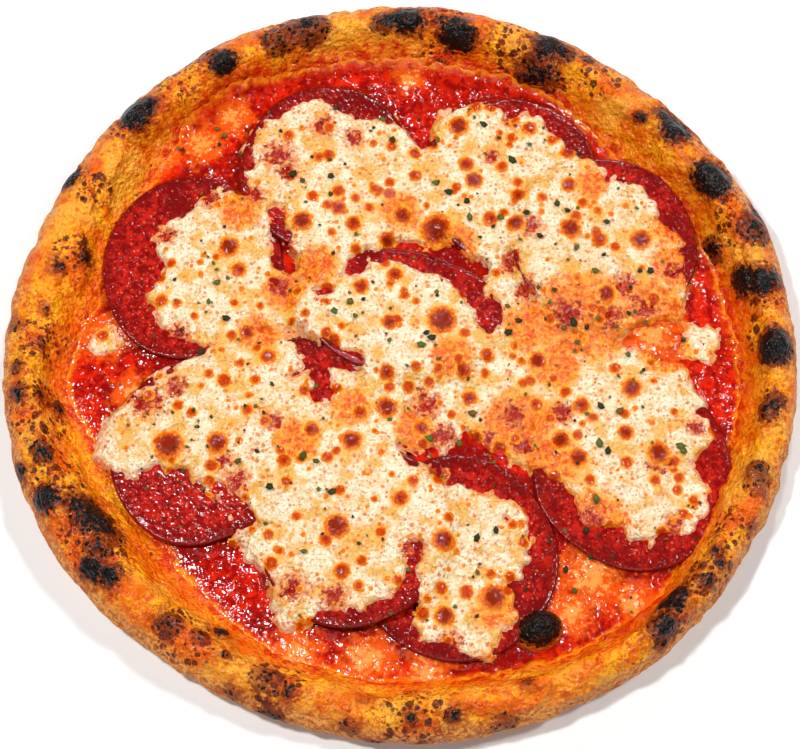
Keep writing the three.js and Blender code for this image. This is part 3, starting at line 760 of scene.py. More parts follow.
def underside_of(slice_, x, y):
    flat = SAUCE_TOP + GAP
    if "leans_on" not in slice_:
        return flat + 0 * x
    lower = SLICES[slice_["leans_on"]]
    dx, dy = lower["x"] - slice_["x"], lower["y"] - slice_["y"]
    apart = math.hypot(dx, dy)
    dx, dy = dx / apart, dy / apart
    far = radius_toward(slice_, -dx, -dy)
    rise = SLICE_THICKNESS + 2 * GAP
    slope = rise / (far + apart - radius_toward(lower, dx, dy))
    along = (x - slice_["x"]) * dx + (y - slice_["y"]) * dy + far
    return flat + slope * np.clip(along, 0, None)


def pile_top(x, y, drape=3.5):
    top = np.full(np.shape(x), SAUCE_TOP)
    for slice_ in SLICES.values():
        near = 1 - smoothstep(0, drape, outside_slice(slice_, x, y))
        over = underside_of(slice_, x, y) + SLICE_THICKNESS
        top = np.maximum(top, mix(SAUCE_TOP, over, near))
    return top


# %% [markdown]
# ## Tomato sauce
#
# The sauce is pulp and oil: lumpy, wet, and smeared up the inside of the rim by the spoon. Its
# outer part is the inner slope of the rim itself, lifted by the thickness of the sauce, and
# where that thickness runs out it dips below the dough, which gives a natural edge with no
# cutting. The rest is a floor of closely spaced rings with lumps pushed up.

# %% Sauce surface
SLOPE_COVERED = 12  # rings of the slope, from the crest down, that no sauce reaches
EDGE_DIP, SMEAR_THICKNESS = -0.6, 1.1  # where the sauce has run out, and where it is whole
EDGE_STEEPNESS = 3  # how fast it thickens past its edge
LUMPS = ((1.0, 7, 23), (0.7, 3.4, 24), (0.35, 1.8, 25))


def past_the_line(points, share):
    """How far inside the edge of the sauce, counted in widths of the slope."""
    return share - sauce_line(points) + 0.07 * noise(points, 4, 22) + 0.04 * noise(points, 1.9, 28)


def smear_height(past):
    return np.clip(past * EDGE_STEEPNESS, EDGE_DIP, SMEAR_THICKNESS)


def beside_slice(x, y):
    return np.min([np.abs(outside_slice(s, x, y)) for s in SLICES.values()], axis=0)


def sauce_floor_ring(share):
    """A ring of the sauce inside the rim's foot, and how far past the edge its points are."""
    flat = ring_of(rim.foot * share, BASE_LEVEL)
    past = past_the_line(flat, 1 + rim.foot * (1 - share) / slope_width)
    lap = 0.8 * np.exp(-((beside_slice(flat[..., 0], flat[..., 1]) / 2.2) ** 2))
    flat[..., 2] += (smear_height(past)
                     + (SAUCE_TOP - BASE_THICKNESS - SMEAR_THICKNESS) * smoothstep(0.3, 0.9, past)
                     + (0.7 * layers(flat, *LUMPS) - 0.1 + lap) * smoothstep(0, 0.5, past))
    return flat, past


on_slope = slice(SLOPE_START + SLOPE_COVERED, SLOPE_START + SLOPE_RINGS)
climbing = crust_rings[on_slope].copy()
past_slope = past_the_line(climbing, slope_share[on_slope])
climbing[..., 2] += smear_height(past_slope)
floor_shares = np.concatenate([np.linspace(0.993, 0.72, 42), np.linspace(0.68, 0.08, 14)])
floor, past_floor = zip(*(sauce_floor_ring(share) for share in floor_shares))
BELOW = 1.0  # the underside lies this far below, hidden in the dough
under = [ring_of(rim.foot * share, BASE_LEVEL - BELOW) for share in (0.3, 0.8, 1.0)]
under += [ring - [0, 0, BELOW] for ring in climbing[::-4]]
sauce_rings = np.concatenate([np.array(under), climbing, np.array(floor)])
print("sauce:", len(sauce_rings), "rings of", STEPS, "points")
sauce_points = np.concatenate([
    [[0, 0, BASE_THICKNESS - BELOW]], sauce_rings.reshape(-1, 3), [[0, 0, SAUCE_TOP - 0.3]]])

# %% Films of oil and melted cheese on the sauce: x, y, radius
FILMS = [
    (-112, 17, 9), (-101, -6, 7), (-37, -107, 9), (-12, -109, 10), (10, -114, 9),
    (70, -78, 13), (80, -64, 9), (62, -92, 9), (84, -88, 8), (106, 42, 8),
    (-78, 100, 9), (-92, 94, 6), (70, 18, 12), (96, 18, 12), (4, 130, 6), (-66, 112, 8),
    (60, 5, 8), (-100, 60, 6), (110, 62, 6),
]
films = np.array(FILMS, float)
film_centres = np.column_stack([films[:, 0], films[:, 1] + LOOK_AT[1],
                                np.full(len(films), SAUCE_TOP)])
film = spot_field(sauce_points, film_centres, films[:, 2])
# Darker sauce: pools at random, plus painted shade in a band along the edges of the slices.
pools_and_shade = layers(sauce_points, (1, 13, 26), (0.5, 5, 27))
pools_and_shade += 0.9 * np.exp(-((beside_slice(sauce_points[:, 0], sauce_points[:, 1]) / 3.5) ** 2))
inward = np.concatenate([[1], np.ones(len(under) * STEPS),
                         past_slope.ravel() * EDGE_STEEPNESS,
                         np.array(past_floor).ravel() * EDGE_STEEPNESS, [1]])


SAUCE_COLOURS = dict(
    pulp=(146, 3, 2), tomato=(214, 32, 3), deep_red=(128, 2, 1), orange=(228, 68, 4),
    yellow=(242, 142, 20), oil=(234, 88, 5), curd=(246, 164, 76), seed=(240, 104, 30))


def sauce_material():
    look = Finish("tomato_sauce", SAUCE_COLOURS)
    pulp = look.noise(260, 6, 0.65, 0.8)
    look.colour = look.two_colours(look.cut(pulp, 0.4, 0.6), "pulp", "tomato")
    # Dark red in the pools, and as painted shade beside the slices.
    look.glaze(look.cut(look.mask("pools_and_shade"), 0.0, 0.7), "deep_red", 0.8)
    look.glaze(look.frayed(look.mask("inward", 0.36, -1.0), 3.2, 1.6, 0.4), "orange", 0.7)
    look.glaze(look.frayed(look.mask("inward", 0.12, -1.0), 2.4, 1.4, 0.3), "yellow")
    oily = look.frayed(look.mask("film"), 3.6, 2.6, 0.4)
    look.glaze(oily, "oil", 0.85)
    look.glaze(look.frayed(look.mask("film", -0.6), 2.2, 2.6, 0.25), "curd", 0.75)
    look.glaze(look.dots(2.0, 0.3, 0.3), "seed", 0.45)
    return look.finish(look.blend_value(oily, 0.12, 0.16), 0.35, grain=(2.2, 0.6),
                       drops=(1.5, 1.5))


add_piece("sauce_smeared", sauce_points, skin_faces(len(sauce_rings), STEPS),
          sauce_material(), {"film": film, "pools_and_shade": pools_and_shade, "inward": inward},
          ["sauce"])

# %% [markdown]
# ## The salami itself
#
# A slice is a thin disc of minced meat and fat. In the oven its edge darkens and lifts a
# little, the fat melts into orange specks, and the face turns glossy. The dark edge is partly
# browned rind and partly painted shade, and the pale specks are partly fat and partly painted
# glints. Rings of points make the disc, because they let the edge be rounded and the face be
# wavy, and keep each slice closed.

# %% Slice material
SALAMI_COLOURS = dict(lean=(124, 4, 4), bright=(194, 28, 14), dark=(120, 5, 5),
                      fat=(236, 104, 60), rind=(100, 4, 4))


def salami_material():
    look = Finish("spicy_salami", SALAMI_COLOURS)
    meat = look.noise(420, 6, 0.7)
    look.colour = look.two_colours(look.cut(meat, 0.42, 0.6), "lean", "bright")
    look.glaze(look.cut(look.noise(60, 3), 0.45, 0.66), "dark")
    # Pale orange specks: melted fat, and partly painted glints.
    look.glaze(look.dots(1.5, 0.3, 0.3), "fat", 0.55)
    # A darker edge: partly browned rind, partly painted shade along the slice's rim.
    look.glaze(look.cut(look.mask("edge"), 0.2, 1.0), "rind", 0.6)
    return look.finish(look.blend_value(meat, 0.1, 0.24), 0.35, grain=(1.6, 0.4),
                       drops=(1.25, 1.5))


# %% Slice pieces
SLICE_STEPS = 120
slice_angles = np.arange(SLICE_STEPS) / SLICE_STEPS * 2 * math.pi
salami = salami_material()


def slice_ring(slice_, share, inset, up):
    c, s = slice_axes(slice_)
    uneven = (0.5 * np.sin(3 * slice_angles + slice_["x"])
              + 0.3 * np.sin(5 * slice_angles + slice_["y"])) * share
    u = (share * slice_["rx"] + uneven - inset) * np.cos(slice_angles)
    v = (share * slice_["ry"] + uneven - inset) * np.sin(slice_angles)
    x, y = slice_["x"] + u * c - v * s, slice_["y"] + u * s + v * c
    cupped = 0.4 * smoothstep(0.72, 0.96, share)
    z = underside_of(slice_, x, y) + up * SLICE_THICKNESS + cupped
    return np.stack([x, y, z], axis=-1)


UNDERSIDE_SHARES = (0.3, 0.6, 0.85)
# The rounded edge: how far in, how far up as a share of the thickness, and how much dark rind and
# painted edge shade.
EDGE_RINGS = [(1.0, 0, 1), (0.35, 0.12, 1), (0, 0.45, 1), (0.12, 0.75, 1), (0.5, 0.95, 1),
              (1.1, 1, 0.85)]
FACE_SHARES = (0.97, 0.93, 0.85, 0.7, 0.5, 0.25)


def slice_rings(slice_):
    """The rings of a slice from below to above, and how much dark rind and painted shade each
    shows.
    """
    rings = [slice_ring(slice_, share, 0.3, 0) for share in UNDERSIDE_SHARES]
    rings += [slice_ring(slice_, 1, inset, up) for inset, up, _ in EDGE_RINGS]
    rind = [0.0, 0.0, 0.3] + [rind for _, _, rind in EDGE_RINGS]
    for share in FACE_SHARES:
        ring = slice_ring(slice_, share, 0.3, 1)
        ring[..., 2] += layers(ring, (0.25, 9, 31), (0.12, 4, 32))
        rings.append(ring)
        rind.append(max(0.0, (share - 0.8) / 0.2))
    return np.array(rings), rind


for name, slice_ in SLICES.items():
    rings, rind = slice_rings(slice_)
    x, y = slice_["x"], slice_["y"]
    level = float(underside_of(slice_, np.array(x), np.array(y)))
    points = np.concatenate([[[x, y, level]], rings.reshape(-1, 3),
                             [[x, y, level + SLICE_THICKNESS]]])
    masks = {"edge": np.concatenate([[0], np.repeat(rind, SLICE_STEPS), [0]])}
    add_piece(name + "_cut", points, skin_faces(len(rings), SLICE_STEPS), salami,
              masks, [name])

# %% [markdown]
# ## Melted cheese: where it lies
#
# Torn cheese melts into pools that run together, and gaps stay where it slid off a slice. The
# sheet is therefore a union of round pools less a few strokes, measured as a distance to the
# edge. Noise on that distance frays the edge into curds and opens little windows where the
# sheet is thin. The alternative, a fluid simulation, would take minutes and could not be
# steered to where the cheese lies here.

# %% Pools, gaps and thin places
# Pools: x, y, radius.
POOLS = [
    (-68, 52, 18), (-83, 46, 12), (-74, 24, 21), (-58, 16, 18), (-56, 38, 9), (-32, 90, 19),
    (-46, 88, 13), (-12, 84, 19), (-45, 70, 15), (-28, 66, 23), (-5, 64, 22), (-34, 42, 17),
    (-16, 46, 14), (-42, 20, 11), (30, 92, 18), (46, 84, 19), (22, 70, 23), (62, 70, 18),
    (42, 60, 24), (82, 54, 19), (88, 42, 20), (66, 40, 20), (44, 30, 12), (96, 26, 14),
    (72, 18, 17), (50, 12, 14), (-8, 22, 19), (8, 14, 19), (24, 2, 18), (-22, 12, 15),
    (-8, -4, 18), (-46, -2, 9), (-62, -14, 21), (-80, -27, 21), (-98, -34, 15),
    (-58, -38, 22), (-36, -30, 22), (-14, -24, 22), (8, -22, 18), (-40, -66, 21),
    (-18, -62, 25), (-28, -84, 18), (-10, -82, 17), (-36, -97, 10), (4, -50, 14),
    (16, -68, 17), (30, -74, 18), (20, -88, 18), (28, -100, 14), (14, -102, 10),
    (28, -108, 9), (46, -6, 14), (60, -12, 18), (38, -22, 15), (52, -34, 13), (80, -15, 20),
    (98, -17, 15), (72, -34, 21), (90, -34, 20), (106, -33, 10), (80, -50, 19), (98, -56, 15),
    (90, -64, 11),
]
# Gaps: a stroke from x, y to x, y, and half its width.
GAPS = [
    (-48, 58, -44, 38, 3.6), (8, 108, 9, 92, 4.5), (-18, 36, -2, 42, 2.4), (0, 43, 13, 43, 4),
    (13, 43, 24, 33, 4.5), (24, 33, 36, 14, 4.5), (-34, 3, -18, -4, 3), (-31, -6, -30, -15, 4.5),
    (4, -41, 30, -43, 4), (30, -43, 48, -58, 5.5), (6, -80, 3, -98, 3),
    (-66, -56, -56, -66, 4),
]


def inside_cheese(x, y):
    inside = np.full(np.shape(x), -99.0)
    for px, py, radius in POOLS:
        inside = np.maximum(inside, radius - np.hypot(x - px, y - py))
    for ax, ay, bx, by, half in GAPS:
        span = np.array([bx - ax, by - ay], float)
        along = ((x - ax) * span[0] + (y - ay) * span[1]) / (span @ span)
        t = np.clip(along, 0, 1)
        away = np.hypot(x - mix(ax, bx, t), y - mix(ay, by, t))
        inside = np.minimum(inside, away - half)
    return inside


# Where the sheet is thin and the meat shows through: x, y, radius.
THIN = [
    (-30, 97, 9), (-48, 84, 12), (-44, 76, 8), (-56, 66, 7), (50, 52, 9), (5, -78, 8),
    (-38, -92, 10), (-24, -96, 9), (-104, -16, 10), (-94, -20, 11), (-84, -14, 8),
    (60, -24, 9), (48, 26, 9), (64, 16, 12), (78, 16, 12), (94, 20, 11), (42, 38, 8),
    (96, -44, 9), (10, -20, 11), (16, -32, 9), (42, -24, 10), (46, -36, 9), (32, -34, 8),
    (2, -98, 8), (-48, -28, 7), (-46, 28, 8), (-44, 44, 7), (70, -66, 10), (30, -48, 9),
    (14, -48, 8), (-60, -52, 9), (-66, -44, 8), (-70, -60, 8), (36, 84, 6), (104, 34, 7),
    (100, -68, 7), (-18, 92, 7), (110, -30, 7), (18, -112, 8), (86, 28, 9), (60, -58, 8),
    (-90, 50, 7), (-84, 8, 9), (-74, 66, 8), (44, 100, 7),
]
# Where red oil has soaked the sheet orange: x, y, radius.
OILY = [
    (70, 16, 22), (96, 18, 16), (50, 12, 13), (44, -28, 16), (56, -42, 13), (106, 36, 12),
    (104, 52, 9), (-44, 26, 10), (-54, 8, 10), (72, -66, 14), (-32, 36, 10), (20, -2, 10),
    (-38, -36, 10), (6, -30, 10), (58, -4, 12), (-62, 60, 10), (20, 46, 12), (0, 60, 10),
    (100, 2, 12), (30, -40, 10), (-18, -22, 9), (34, -100, 9), (74, 70, 8),
]


def soft_spots(table, flat):
    spots = np.array(table, float)
    centres = np.column_stack([spots[:, :2], 0 * spots[:, 0]])
    return np.clip(spot_field(flat, centres, spots[:, 2]), 0, 1)


# %% [markdown]
# ## Browned bubbles
#
# Steam lifts the cheese into bubbles, and the oven browns their tops: orange at the edge, dark
# red-brown in the middle of the large ones. The large and middling ones are placed as in the
# photograph. Hundreds of smaller ones are drawn at random from a seeded source, so they come
# out the same on each run.

# %% Browned bubbles: x, y, radius
BROWNED = [
    (23, 107, 4), (26, 90, 3), (29, 83, 3.5), (22, 80, 2), (6, 95, 2.5), (6, 85, 2.5),
    (13, 99, 2), (1, 68, 3.5), (14, 62, 6), (-5, 57, 3), (-24, 71, 3), (-24, 78, 2.5),
    (-34, 76, 2.3), (-38, 65, 4), (-46, 68, 2.5), (-18, 64, 3), (-12, 71, 2), (-10, 79, 2),
    (-4, 77, 2.5), (-4, 82, 2), (-28, 94, 2.5), (-32, 93, 2), (-44, 103, 2.2),
    (35, 66, 3), (45, 65, 3.5), (46, 76, 3), (46, 82, 2), (40, 89, 2.3), (30, 116, 2.5),
    (36, 116, 2.5), (51, 106, 3), (66, 62, 4), (66, 81, 3), (66, 95, 3), (60, 101, 2),
    (77, 57, 3), (83, 54, 2), (93, 57, 4), (71, 73, 2), (79, 34, 3.5), (97, 32, 2.5),
    (76, 24, 2), (-86, -28, 5.5), (-68, -27, 4), (-66, -2, 2.7), (-50, 8, 3), (-58, 18, 3),
    (-62, 44, 3), (-66, 54, 4), (-88, 47, 1.9), (-92, 41, 2), (-91, 31, 2.5), (-85, 30, 1.8),
    (-83, -12, 2), (-78, -15, 2), (-57, -14, 2), (-70, -36, 2.5), (-5, 2, 3), (-4, 22, 3),
    (16, 23, 5.6), (-15, 37, 3), (-28, 37, 2.2), (-2, 42, 3), (-28, 18, 2), (-25, 15, 2.5),
    (-24, -5, 2.3), (-36, -6, 2), (-4, -5, 2), (3, -5, 2.2), (6, 4, 2), (11, -3, 2),
    (22, 7, 2), (24, 3, 3), (33, 9, 2.5), (26, -9, 3), (52, 6, 3.5), (49, -2, 2),
    (-5, -13, 4), (-15, -15, 2.7), (-18, -26, 4), (-33, -22, 3), (-43, -34, 2.7),
    (-27, -33, 2.2), (-42, -42, 2), (8, -21, 3), (28, -25, 3), (37, -29, 3), (0, -49, 3),
    (14, -42, 2), (87, -5, 3.6), (81, 3, 2.2), (62, -7, 2.3), (68, -12, 3), (72, -17, 2),
    (51, -12, 2.5), (56, -17, 2), (60, -26, 3.5), (66, -24, 2), (84, -23, 3), (96, -31, 4),
    (84, -35, 2.3), (66, -33, 3.5), (57, -40, 2.3), (61, -47, 2.5), (94, -42, 2),
    (103, -41, 2), (117, -22, 2.3), (108, -50, 2), (70, -42, 2), (-23, -60, 4.6),
    (-27, -65, 2.5), (-21, -77, 3), (-14, -73, 2), (-7, -62, 2), (-38, -56, 1.8),
    (-48, -63, 2), (-47, -74, 2.5), (16, -65, 4), (18, -56, 1.8), (15, -84, 2.3),
    (24, -85, 2.7), (34, -87, 4.8), (39, -84, 2), (16, -94, 3.7), (8, -93, 2.3),
    (45, -66, 2), (40, -79, 2), (96, -62, 2.2), (104, -55, 2), (-113, 17, 2.5),
]
draws = np.random.default_rng(5)
brown = np.array(BROWNED, float)
SMALL_COUNT = 600
small = np.column_stack([draws.uniform(-115, 118, SMALL_COUNT),
                         draws.uniform(-108, 122, SMALL_COUNT),
                         0.6 + 1.5 * draws.uniform(0, 1, SMALL_COUNT) ** 2])
brown = np.concatenate([brown, small])
print(len(POOLS), "pools of cheese with", len(brown), "browned bubbles")
pile_at_brown = pile_top(brown[:, 0], brown[:, 1] + LOOK_AT[1]) + 3
brown_places = below_sight(brown[:, :2], pile_at_brown)

# %% [markdown]
# ## Laying the sheet over the pile
#
# A fine square grid covers the toppings. Each grid point knows how far inside the cheese it is
# and how high the pile below it stands, so the top is the pile plus a thickness that swells
# quickly from a rounded lip. Cells outside are dropped, and the outermost ones dip below the
# meat, so the edge that shows is where the two surfaces meet.

# %% What makes the sheet uneven
def blurred(grid, cells):
    weights = np.exp(-((np.arange(-3 * cells, 3 * cells + 1) / cells) ** 2) / 2)
    padded = np.pad(grid, 3 * cells, mode="edge")
    for axis in (0, 1):
        padded = np.apply_along_axis(np.convolve, axis, padded, weights / weights.sum(), "valid")
    return padded


def torn(inside, flat, thin, near_edge):
    """Frays the edge into curds, and opens little windows where the sheet is thin."""
    fray = layers(flat, (3.4, 9, 41), (2.7, 4.2, 42), (1.2, 2.1, 43))
    windows = layers(flat, (1, 4.6, 44), (0.6, 2.3, 45))
    return np.minimum(inside + fray * (0.35 + 0.65 * near_edge),
                      (0.85 - 0.7 * thin - windows) * 5 + 1.2)


def browned_bubbles(xs, ys, x, y):
    """How far inside a bubble each point is, how large that bubble is, and how high it stands."""
    dome, size = np.zeros_like(x), np.zeros_like(x)
    field = np.full(x.shape, -2.0)
    for (cx, cy), radius in zip(brown_places, brown[:, 2]):
        reach = 2.2 * radius + 1
        rows = np.searchsorted(ys, [cy - reach, cy + reach])
        columns = np.searchsorted(xs, [cx - reach, cx + reach])
        patch = (slice(*rows), slice(*columns))
        away = np.hypot(x[patch] - cx, (y[patch] - cy) * 0.96) / radius
        size[patch] = np.where(1 - away > field[patch], radius, size[patch])
        field[patch] = np.maximum(field[patch], 1 - away)
        raised = 0.3 * radius**0.8 * np.clip(1 - away**2, 0, None) ** 0.8
        dome[patch] = np.maximum(dome[patch], raised)
    return field, size, dome


# %% The sheet as a closed mesh
DRAPE_BLUR = 2.6  # how softly the sheet bends over the edges of the slices


def cheese_sheet(inside_at, low, high, spacing, full_thickness):
    xs = np.arange(low[0], high[0], spacing)
    ys = np.arange(low[1], high[1], spacing)
    x, y = np.meshgrid(xs, ys)
    flat = flat_points(x, y)
    thin, oily = soft_spots(THIN, flat), soft_spots(OILY, flat)
    inside = inside_at(x, y)
    near_edge = np.exp(-np.clip(inside, 0, None) / 5)
    inside = torn(inside, flat, thin, near_edge)
    lip = np.where(inside > 0, 1 - np.exp(-np.clip(inside, 0, None) / 1.5), inside * 0.25)
    body = full_thickness * (1 - 0.45 * thin) * (1 + 0.16 * noise(flat, 12, 46))
    grain = layers(flat, (0.35, 5.5, 47), (0.3, 2.6, 48))
    grain = grain + 0.5 * near_edge * np.clip(noise(flat, 2.4, 49), 0, None)
    field, size, dome = browned_bubbles(xs, ys, x, y)
    thickness = body * lip + (grain + dome) * np.clip(inside / 3, 0, 1)
    pile = pile_top(x, y)
    draped = blurred(pile, round(DRAPE_BLUR / spacing))
    pile = mix(pile, draped, smoothstep(0.5, 3.5, inside))
    top = pile + thickness
    bottom = np.minimum(pile - 0.6, top - 0.4)
    inner = inside > -1.0
    cell = inner[:-1, :-1] | inner[1:, :-1] | inner[:-1, 1:] | inner[1:, 1:]
    return close_sheet(x, y, top, bottom, cell, {
        "browned": field, "spot_size": size, "thin": thin, "oily": oily, "inside": inside})


def close_sheet(x, y, top, bottom, cell, masks):
    """Joins the top, the underside and walls along the border into one closed skin."""
    rows, columns = np.nonzero(cell)
    wide = x.shape[1]
    corner = rows * wide + columns
    quads = np.stack([corner, corner + 1, corner + wide + 1, corner + wide], axis=-1)
    edges = np.concatenate([quads[:, [k, (k + 1) % 4]] for k in range(4)])
    count = x.size
    keys = edges[:, 0] * count + edges[:, 1]
    back = edges[:, 1] * count + edges[:, 0]
    border = edges[~np.isin(keys, back)]
    used, numbers = np.unique(quads, return_inverse=True)
    quads = numbers.reshape(-1, 4)
    renumber = np.zeros(count, np.int64)
    renumber[used] = np.arange(len(used))
    border = renumber[border]
    many = len(used)
    walls = np.stack([border[:, 1], border[:, 0], border[:, 0] + many, border[:, 1] + many],
                     axis=-1)
    faces = np.concatenate([quads, quads[:, ::-1] + many, walls]).tolist()
    flat = [x.ravel()[used], y.ravel()[used]]
    points = np.concatenate([np.stack([*flat, top.ravel()[used]], axis=-1),
                             np.stack([*flat, bottom.ravel()[used]], axis=-1)])
    kept = {name: np.tile(values.ravel()[used], 2) for name, values in masks.items()}
    return points, faces, kept


# %% Cheese material
CHEESE_COLOURS = dict(
    cream=(240, 227, 196), butter=(230, 176, 90), fibre=(200, 144, 68), yellow=(236, 160, 36),
    yellow_oil=(242, 146, 22), red_oil=(222, 74, 3), veiled_meat=(224, 128, 54),
    meat=(160, 20, 2), edge=(214, 90, 40), fleck=(216, 92, 6), halo=(244, 168, 40),
    ring=(232, 116, 4), toast=(198, 62, 1), dark=(128, 28, 1))


def melt(look):
    """Cream, with oil soaked in, and the meat showing through where the sheet is thin."""
    look.colour = look.two_colours(look.cut(look.noise(110, 6, 0.6), 0.47, 0.6),
                                   "cream", "butter")
    # Fine darker streaks: partly the cheese's own grain, partly painted small shade between the
    # curds.
    look.glaze(look.cut(look.noise(850, 4, 0.6), 0.5, 0.64), "fibre", 0.8)
    look.glaze(look.frayed(look.mask("oily", -0.22, 2.0), 5.0, 1.6, 0.4), "yellow", 0.85)
    oil = look.two_colours(look.cut(look.noise(560, 5, 0.65), 0.4, 0.58),
                           "yellow_oil", "red_oil")
    look.glaze(look.frayed(look.mask("oily", -0.42, 1.5), 3.4, 2.4, 0.3), oil, 0.95)
    look.glaze(look.frayed(look.mask("thin", -0.6, 1.4), 2.6, 2.4, 0.25), "veiled_meat", 0.75)
    look.glaze(look.frayed(look.mask("thin", -0.85, 1.4), 2.3, 2.6, 0.22), "meat")
    lip = look.maths("SUBTRACT", 0.45, look.cut(look.mask("inside"), 0.0, 2.4))
    look.glaze(look.frayed(lip, 1.6, 1.6, 0.2), "edge", 0.45)
    look.glaze(look.dots(2.1, 0.36, 0.42), "fleck", 0.75)


def brown_bubbles(look):
    """A yellow halo, an orange ring, a toasted top, and a dark middle on the large ones."""
    spot, size = look.mask("browned"), look.mask("spot_size")
    look.glaze(look.frayed(look.shift(spot, 0.22), 2.6, 1.8, 0.2), "halo", 0.8)
    ring = look.frayed(look.shift(spot, 0.04), 1.8, 1.1, 0.1)
    look.glaze(ring, "ring")
    toasted = look.maths("MULTIPLY", spot, look.cut(size, 0.4, 2.4))
    toasted = look.frayed(look.shift(toasted, -0.27), 1.6, 1.2, 0.14)
    look.glaze(toasted, "toast")
    dark = look.maths("MULTIPLY", spot, look.cut(size, 1.2, 4.2))
    look.glaze(look.frayed(look.shift(dark, -0.38), 1.4, 1.5, 0.18), "dark", 0.9)
    return ring, toasted


def cheese_material():
    look = Finish("melted_cheese", CHEESE_COLOURS)
    melt(look)
    ring, toasted = brown_bubbles(look)
    look.shader.inputs["Subsurface Weight"].default_value = 0.1
    look.shader.inputs["Subsurface Radius"].default_value = (1.0, 0.6, 0.3)
    look.shader.inputs["Subsurface Scale"].default_value = 1.5 * MM
    return look.finish(look.blend_value(ring, 0.2, 0.14), look.blend_value(toasted, 0.35, 0.24),
                       grain=(1.5, look.blend_value(toasted, 1.05, 0.4)), drops=(1.6, 1.7))


CHEESE_THICKNESS, CHEESE_GRID = 2.1, 0.7
cheese = cheese_material()
points, faces, masks = cheese_sheet(inside_cheese, (-118, -122), (120, 115), CHEESE_GRID,
                                    CHEESE_THICKNESS)
add_piece("cheese_melted", points, faces, cheese, masks, ["cheese"])

# %% Two scraps that melted away from the sheet
SCRAP_THICKNESS, SCRAP_GRID = 0.9, 0.6
SCRAPS = {
    "cheese_scrap_left": (-112.5, 7, 5.7, 5.2),
    "cheese_scrap_right": (114, 6, 6.5, 7.5),
}


def inside_scrap(cx, cy, rx, ry):
    return lambda x, y: (1 - np.hypot((x - cx) / rx, (y - cy) / ry)) * rx


for name, (cx, cy, rx, ry) in SCRAPS.items():
    points, faces, masks = cheese_sheet(inside_scrap(cx, cy, rx, ry), (cx - 10, cy - 11),
                                        (cx + 10, cy + 11), SCRAP_GRID, SCRAP_THICKNESS)
    add_piece(name + "_melted", points, faces, cheese, masks, [name])

# %% [markdown]
# ## Dried herbs
#
# Oregano flakes are crumbs of leaf, 1 to 5 mm long, dark olive green to brown. Each is a
# small bent chip of its own, laid on whatever is below it. They are joined into one mesh, since
# no one moves a single flake.

# %% Herb flakes: x, y
FLAKES = [
    (-7, 109), (-3, 100), (15, 100), (33, 107), (51, 98), (-42, 85), (-38, 82), (-27, 84),
    (-27, 76), (14, 81), (19, 77), (26, 73), (27, 66), (39, 66), (36, 62), (44, 70), (49, 68),
    (44, 91), (61, 72), (65, 69), (69, 70), (80, 64), (68, 53), (54, 58), (75, 43), (92, 43),
    (96, 43), (59, 35), (88, 36), (-17, 24), (-25, 26), (-4, 14), (14, 34), (8, 12), (10, 17),
    (12, 15), (-14, 31), (-19, 30), (-48, -5), (-30, -46), (-25, -47), (-48, -45), (27, -16),
    (22, -28), (11, -26), (41, 17), (45, 22), (41, 28), (-36, -33), (-31, -35), (67, 13),
    (86, 8), (107, 14), (114, 12), (98, 5), (75, -13), (82, -15), (104, -29), (105, -31),
    (74, -28), (77, -31), (72, -50), (-70, 38), (-66, 40), (-73, 30), (-66, 23), (-83, 18),
    (-75, 9), (-60, -35), (-53, -31), (28, -65), (35, -62), (28, -78), (3, -77), (-35, -70),
    (60, -77), (68, -62), (60, -62), (63, -85), (62, 19), (66, 22), (71, 20), (75, 23),
    (82, 20), (87, 25), (93, 21), (-71, 98), (-69, 102), (-72, 105),
]
CRUMB_COUNT = 260  # smaller ones, drawn at random
herb_draws = np.random.default_rng(11)
spread = np.column_stack([herb_draws.uniform(-105, 112, CRUMB_COUNT),
                          herb_draws.uniform(-100, 118, CRUMB_COUNT)])
herb_places = np.concatenate([np.array(FLAKES, float), spread])
herb_sizes = np.concatenate([herb_draws.uniform(1.3, 2.5, len(FLAKES)),
                             herb_draws.uniform(0.6, 1.4, len(spread))])


def surface_height(x, y):
    inside = inside_cheese(x, y)
    return pile_top(x, y) + CHEESE_THICKNESS * smoothstep(-0.5, 4, inside)


CORNERS = 5


def flake(size, turn, lean):
    """A bent chip with a few corners and a little thickness."""
    corners = np.arange(CORNERS) * 2 * math.pi / CORNERS
    rim_x = size * np.cos(corners) * (0.75 + 0.25 * np.sin(3 * corners + turn))
    rim_y = size * 0.62 * np.sin(corners)
    bend = 0.25 * rim_x**2 / size
    top = np.stack([rim_x, rim_y, bend + 0.22], axis=-1)
    low = np.stack([rim_x * 0.9, rim_y * 0.9, bend - 0.12], axis=-1)
    chip = np.concatenate([[[0, 0, -0.1]], low, top, [[0, 0, 0.3]]])
    chip[:, 2] += lean * chip[:, 0]
    c, s = math.cos(turn), math.sin(turn)
    return chip @ np.array([[c, s, 0], [-s, c, 0], [0, 0, 1]])


places = herb_places + [0, LOOK_AT[1]]
heights = surface_height(places[:, 0], places[:, 1])
places = below_sight(herb_places, heights)
heights = surface_height(places[:, 0], places[:, 1])
FLAKE_LIFT = 0.35
flake_faces = skin_faces(2, CORNERS)
herb_points, herb_faces, tones = [], [], []
for (x, y), z, size in zip(places, heights, herb_sizes):
    turn, lean = herb_draws.uniform(0, 6.28), herb_draws.uniform(-0.3, 0.3)
    first = len(tones)
    chip = flake(size, turn, lean) + [x, y, z + FLAKE_LIFT]
    herb_points.append(chip)
    herb_faces += [[first + corner for corner in face] for face in flake_faces]
    tones += [herb_draws.uniform(0, 1)] * len(chip)

# %% Herb material and piece
HERB_COLOURS = dict(dark_leaf=(52, 50, 24), olive=(96, 100, 38), brown=(118, 84, 36))


